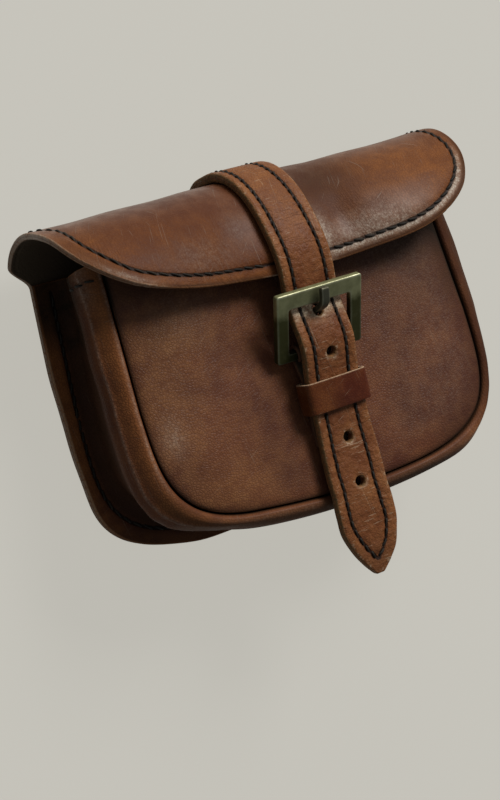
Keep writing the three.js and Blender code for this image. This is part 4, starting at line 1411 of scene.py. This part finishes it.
# Up the front panel to the fold, as (y, z)
CHAPE_LINE = np.array([(24, 53.2), (31, 52.5), (38, 53.1), (50, 53.1), (55.5, 51.6)])
chape_fold = round_bar(CHAPE_FOLD, CHAPE_FOLD_RADIUS)
chape_line = spline(np.concatenate([CHAPE_LINE, chape_fold]), np.linspace(0, 1, 110))
chape_along, chape_out = path_frame(chape_line)
chape_rim = CHAPE_HALF - np.array([0, 0.1, 0.4, 1])
chape_side = np.concatenate([chape_rim, np.linspace(10, 2.6, 7), [2.2, CHAPE_SLIT_HALF]])
chape_columns = np.concatenate([chape_side, [0], -chape_side[::-1]])
chape_normals = band(0.0 * chape_columns, chape_along[:, None], chape_along, chape_out)
chape_face = band(chape_columns, chape_along[:, None], chape_along, chape_line)
chape_face = chape_face + chape_normals * CHAPE_WALL / 2
slit_row = np.argmax(chape_line[:, 0] > CHAPE_SLIT_Y) + 1
in_slit = np.zeros(chape_face.shape[:2], bool)
in_slit[slit_row:] = np.abs(chape_columns) < CHAPE_SLIT_HALF + 0.01
slit_rim = in_slit & (np.abs(chape_columns) > CHAPE_SLIT_HALF - 0.01)
slit_rim[slit_row] = in_slit[slit_row]
chape_kept = ~(in_slit[1:, 1:] & in_slit[1:, :-1] & in_slit[:-1, 1:] & in_slit[:-1, :-1])
tab_leather = leather(
    "tab_leather",
    deep=(0.050, 0.018, 0.010),
    base=(0.095, 0.036, 0.018),
    worn=(0.150, 0.065, 0.032),
    # raw edges nearly black: painted shade where the chape's edges lie under buckle and strap; the belt
    # loops share this finish
    raw=(0.06, 0.03, 0.018),
    roughness=0.5,
)
buckle_chape = leather_wall(
    "buckle_chape_leather",
    chape_face,
    chape_normals,
    CHAPE_WALL,
    tab_leather,
    grid_border(in_slit.shape) | slit_rim,
    chape_kept,
    seam=NO_SEAM,
    # darkened all over: painted shade under buckle and strap
    grime=0.6,
)
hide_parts("buckle_chape")

# Keeper loop
# A band of 1.4 mm leather, 12.5 mm wide, sewn to a loop round strap and chape. It is dark red-brown,
# polished by use, with a pale raw edge at the top.

KEEPER_WALL = 1.4
KEEPER_LOW_Y = 38.0
KEEPER_HEIGHT = 12.5
KEEPER_BACK_Z = 50.6
KEEPER_FRONT_Z = 60.5
KEEPER_HALF = 14.8
KEEPER_CORNER = 2.6
KEEPER_CROWN = 0.7

keeper_mid = rounded_rectangle(
    KEEPER_WALL / 2 - KEEPER_HALF,
    KEEPER_BACK_Z + KEEPER_WALL / 2,
    KEEPER_HALF - KEEPER_WALL / 2,
    KEEPER_FRONT_Z - KEEPER_WALL / 2,
    KEEPER_CORNER - KEEPER_WALL / 2,
    10,
    30,
)
keeper_tangent = unit(np.roll(keeper_mid, -1, axis=0) - np.roll(keeper_mid, 1, axis=0))
keeper_normal = np.stack([keeper_tangent[:, 1], -keeper_tangent[:, 0]], axis=1)
keeper_section = soft_square(72, 9) * np.array([KEEPER_WALL / 2, KEEPER_HEIGHT / 2])
keeper_plane = keeper_mid[:, None] + keeper_section[None, :, :1] * keeper_normal[:, None]
keeper_y = KEEPER_LOW_Y + KEEPER_HEIGHT / 2 + keeper_section[:, 1]
keeper_y = np.broadcast_to(keeper_y, keeper_plane.shape[:2])
in_front = smoothstep(keeper_plane[..., 1], KEEPER_FRONT_Z - 3, KEEPER_FRONT_Z - 1)
keeper_bow = KEEPER_CROWN * in_front * (1 - (keeper_plane[..., 0] / KEEPER_HALF) ** 2)
keeper_points = np.stack([keeper_plane[..., 0], keeper_y, keeper_plane[..., 1] + keeper_bow], axis=-1)
keeper_edge = KEEPER_HEIGHT / 2 - keeper_section[:, 1]
keeper_leather = leather(
    "keeper_leather",
    deep=(0.046, 0.010, 0.005),
    base=(0.086, 0.017, 0.007),
    worn=(0.130, 0.040, 0.010),
    raw=(0.42, 0.28, 0.17),
    roughness=0.36,
    grain=0.04,
    rub=0.25,
)
keeper_values = {
    "edge": 0.35 + keeper_edge * 1.1,
    "flesh": smoothstep(-keeper_section[:, 0], 0.3, 0.6),
    "seam": NO_SEAM,
    "rub": 0.8 * smoothstep(-keeper_points[..., 0], -4, 10),
}
keeper_loop = add_piece(
    "keeper_loop_leather",
    keeper_points.reshape(-1, 3),
    ring_faces(len(keeper_mid), len(keeper_section))[:, ::-1],
    keeper_leather,
    {key: np.broadcast_to(value, keeper_y.shape).ravel() for key, value in keeper_values.items()},
)
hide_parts("keeper_loop")

# Belt loops
# Two plain strips of 2.2 mm leather on the back, sewn down at both ends and raised between them to let a
# belt through. The bag rests on their flat middles.

BELT_LOOP_WALL = 2.2
BELT_LOOP_STEPS = (1.4, 1.3)
BELT_LOOP_X = 50.0
BELT_LOOP_WIDTH = 28.0
BELT_LOOP_MID_Y = 69.0
BELT_LOOP_FLAT = 38.0
BELT_LOOP_RAMP = 8.0
BELT_LOOP_END = 12.0
BELT_SLOT = 5.1
BELT_LOOP_SEWS = (30.0, 35.5)
BELT_LOOP_SEW_INSET = 3.0

loop_half = BELT_LOOP_FLAT / 2 + BELT_LOOP_RAMP + BELT_LOOP_END
loop_x = (2 * rim_shares(BELT_LOOP_WIDTH, BELT_LOOP_STEPS[0]) - 1) * BELT_LOOP_WIDTH / 2
loop_y = (2 * rim_shares(2 * loop_half, BELT_LOOP_STEPS[1]) - 1) * loop_half


def belt_loop_z(y):
    """Outer face of a strip: low at its sewn ends, eased down to the raised flat between them."""
    raised = falling(np.abs(y), BELT_LOOP_FLAT / 2, BELT_LOOP_FLAT / 2 + BELT_LOOP_RAMP)
    return -CLEARANCE - BELT_LOOP_WALL - (BELT_SLOT - CLEARANCE) * raised


def belt_loop_point(x, y):
    x, y = np.broadcast_arrays(x, y)
    return np.stack([x, y + BELT_LOOP_MID_Y, belt_loop_z(y)], axis=-1)


loop_grid_y, loop_grid_x = np.broadcast_arrays(loop_y[:, None], loop_x[None])
for side, middle_x in (("left", -BELT_LOOP_X), ("right", BELT_LOOP_X)):
    loop_face = belt_loop_point(middle_x + loop_grid_x, loop_grid_y)
    loop_normals = normals_of(belt_loop_point, middle_x + loop_grid_x, loop_grid_y)
    sew_half = BELT_LOOP_WIDTH / 2 - BELT_LOOP_SEW_INSET
    sew_across = middle_x + np.linspace(-sew_half, sew_half, 80)
    sew_lines = [belt_loop_point(sew_across, sign * y) for sign in (-1, 1) for y in BELT_LOOP_SEWS]
    belt_loop = leather_wall(
        f"belt_loop_{side}_leather",
        loop_face,
        loop_normals,
        BELT_LOOP_WALL,
        tab_leather,
        seam=distance_to(loop_face, np.concatenate(sew_lines)),
    )
    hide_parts(f"belt_loop_{side}")
    loop_rows = [stitch_row(line, TO_BACK) for line in sew_lines]
    add_piece(f"belt_loop_{side}_stitches", *join(loop_rows), thread)

# Floor, light and camera
# A plain pale floor under two soft lights, from the upper right and from the top, and a weak even fill.
# The camera stands in front of the bag, above it and to its left, and looks down on it.

FLOOR_HALF = 60.0
FLOOR_COLOR = (0.08, 0.0774, 0.0696, 1)
FLOOR_GLOW = 6.25
floor_mesh = bpy.data.meshes.new("floor")
floor_corners = [(-FLOOR_HALF, -FLOOR_HALF, 0), (FLOOR_HALF, -FLOOR_HALF, 0)]
floor_corners += [(FLOOR_HALF, FLOOR_HALF, 0), (-FLOOR_HALF, FLOOR_HALF, 0)]
floor_mesh.from_pydata(floor_corners, [], [(0, 1, 2, 3)])
floor_finish = Finish("pale_floor")
floor_shader = floor_finish.node(
    "ShaderNodeBsdfPrincipled",
    None,
    {
        "Base Color": FLOOR_COLOR,
        "Roughness": 0.9,
        "Specular IOR Level": 0.1,
        "Emission Color": FLOOR_COLOR,
        "Emission Strength": FLOOR_GLOW,
    },
)
floor_finish.node("ShaderNodeOutputMaterial", None, {"Surface": floor_shader})
floor_mesh.materials.append(floor_finish.material)
floor = bpy.data.objects.new("floor", floor_mesh)
bpy.context.scene.collection.objects.link(floor)
floor.visible_diffuse = False

AIM = Vector((0, 0, 0.035))
CAMERA_PLACE = Vector((-0.34589, 0.08629, 0.59912))
CAMERA_RIGHT = Vector((0.82536, -0.23646, 0.51270))
CAMERA_UP = Vector((0.27557, 0.96128, -0.00029))
CAMERA_BACK = Vector((-0.49278, 0.14152, 0.85857))
PHOTO_HEIGHT = 800
FOCAL_PIXELS = 1626.5
SENSOR = 36.0


def softbox(name, direction, distance, size, watts):
    """A square light that faces the bag from that direction."""
    direction = Vector(direction).normalized()
    lamp = bpy.data.lights.new(name, "AREA")
    lamp.energy = watts
    lamp.size = size
    light = bpy.data.objects.new(name, lamp)
    light.location = AIM + distance * direction
    light.rotation_euler = direction.to_track_quat("Z", "Y").to_euler()
    bpy.context.scene.collection.objects.link(light)


softbox("key_light", (0.45, 0.62, 0.65), distance=4.0, size=1.6, watts=145)
softbox("top_light", (0.25, 0.95, 0.25), distance=3.0, size=1.2, watts=24)

FILL_COLOR = (0.87, 0.97, 1.08, 1)
FILL_STRENGTH = 0.19
world = bpy.data.worlds.new("even_fill")
world.use_nodes = True
fill = world.node_tree.nodes["Background"]
fill.inputs["Color"].default_value = FILL_COLOR
fill.inputs["Strength"].default_value = FILL_STRENGTH
bpy.context.scene.world = world
bpy.context.scene.view_settings.view_transform = "Standard"

camera_lens = bpy.data.cameras.new("camera")
camera_lens.sensor_width = SENSOR
camera_lens.lens = SENSOR * FOCAL_PIXELS / PHOTO_HEIGHT
camera = bpy.data.objects.new("camera", camera_lens)
camera_turn = Matrix((CAMERA_RIGHT, CAMERA_UP, CAMERA_BACK)).transposed()
camera.matrix_world = Matrix.LocRotScale(CAMERA_PLACE, camera_turn.to_quaternion(), None)
bpy.context.scene.collection.objects.link(camera)
bpy.context.scene.camera = camera
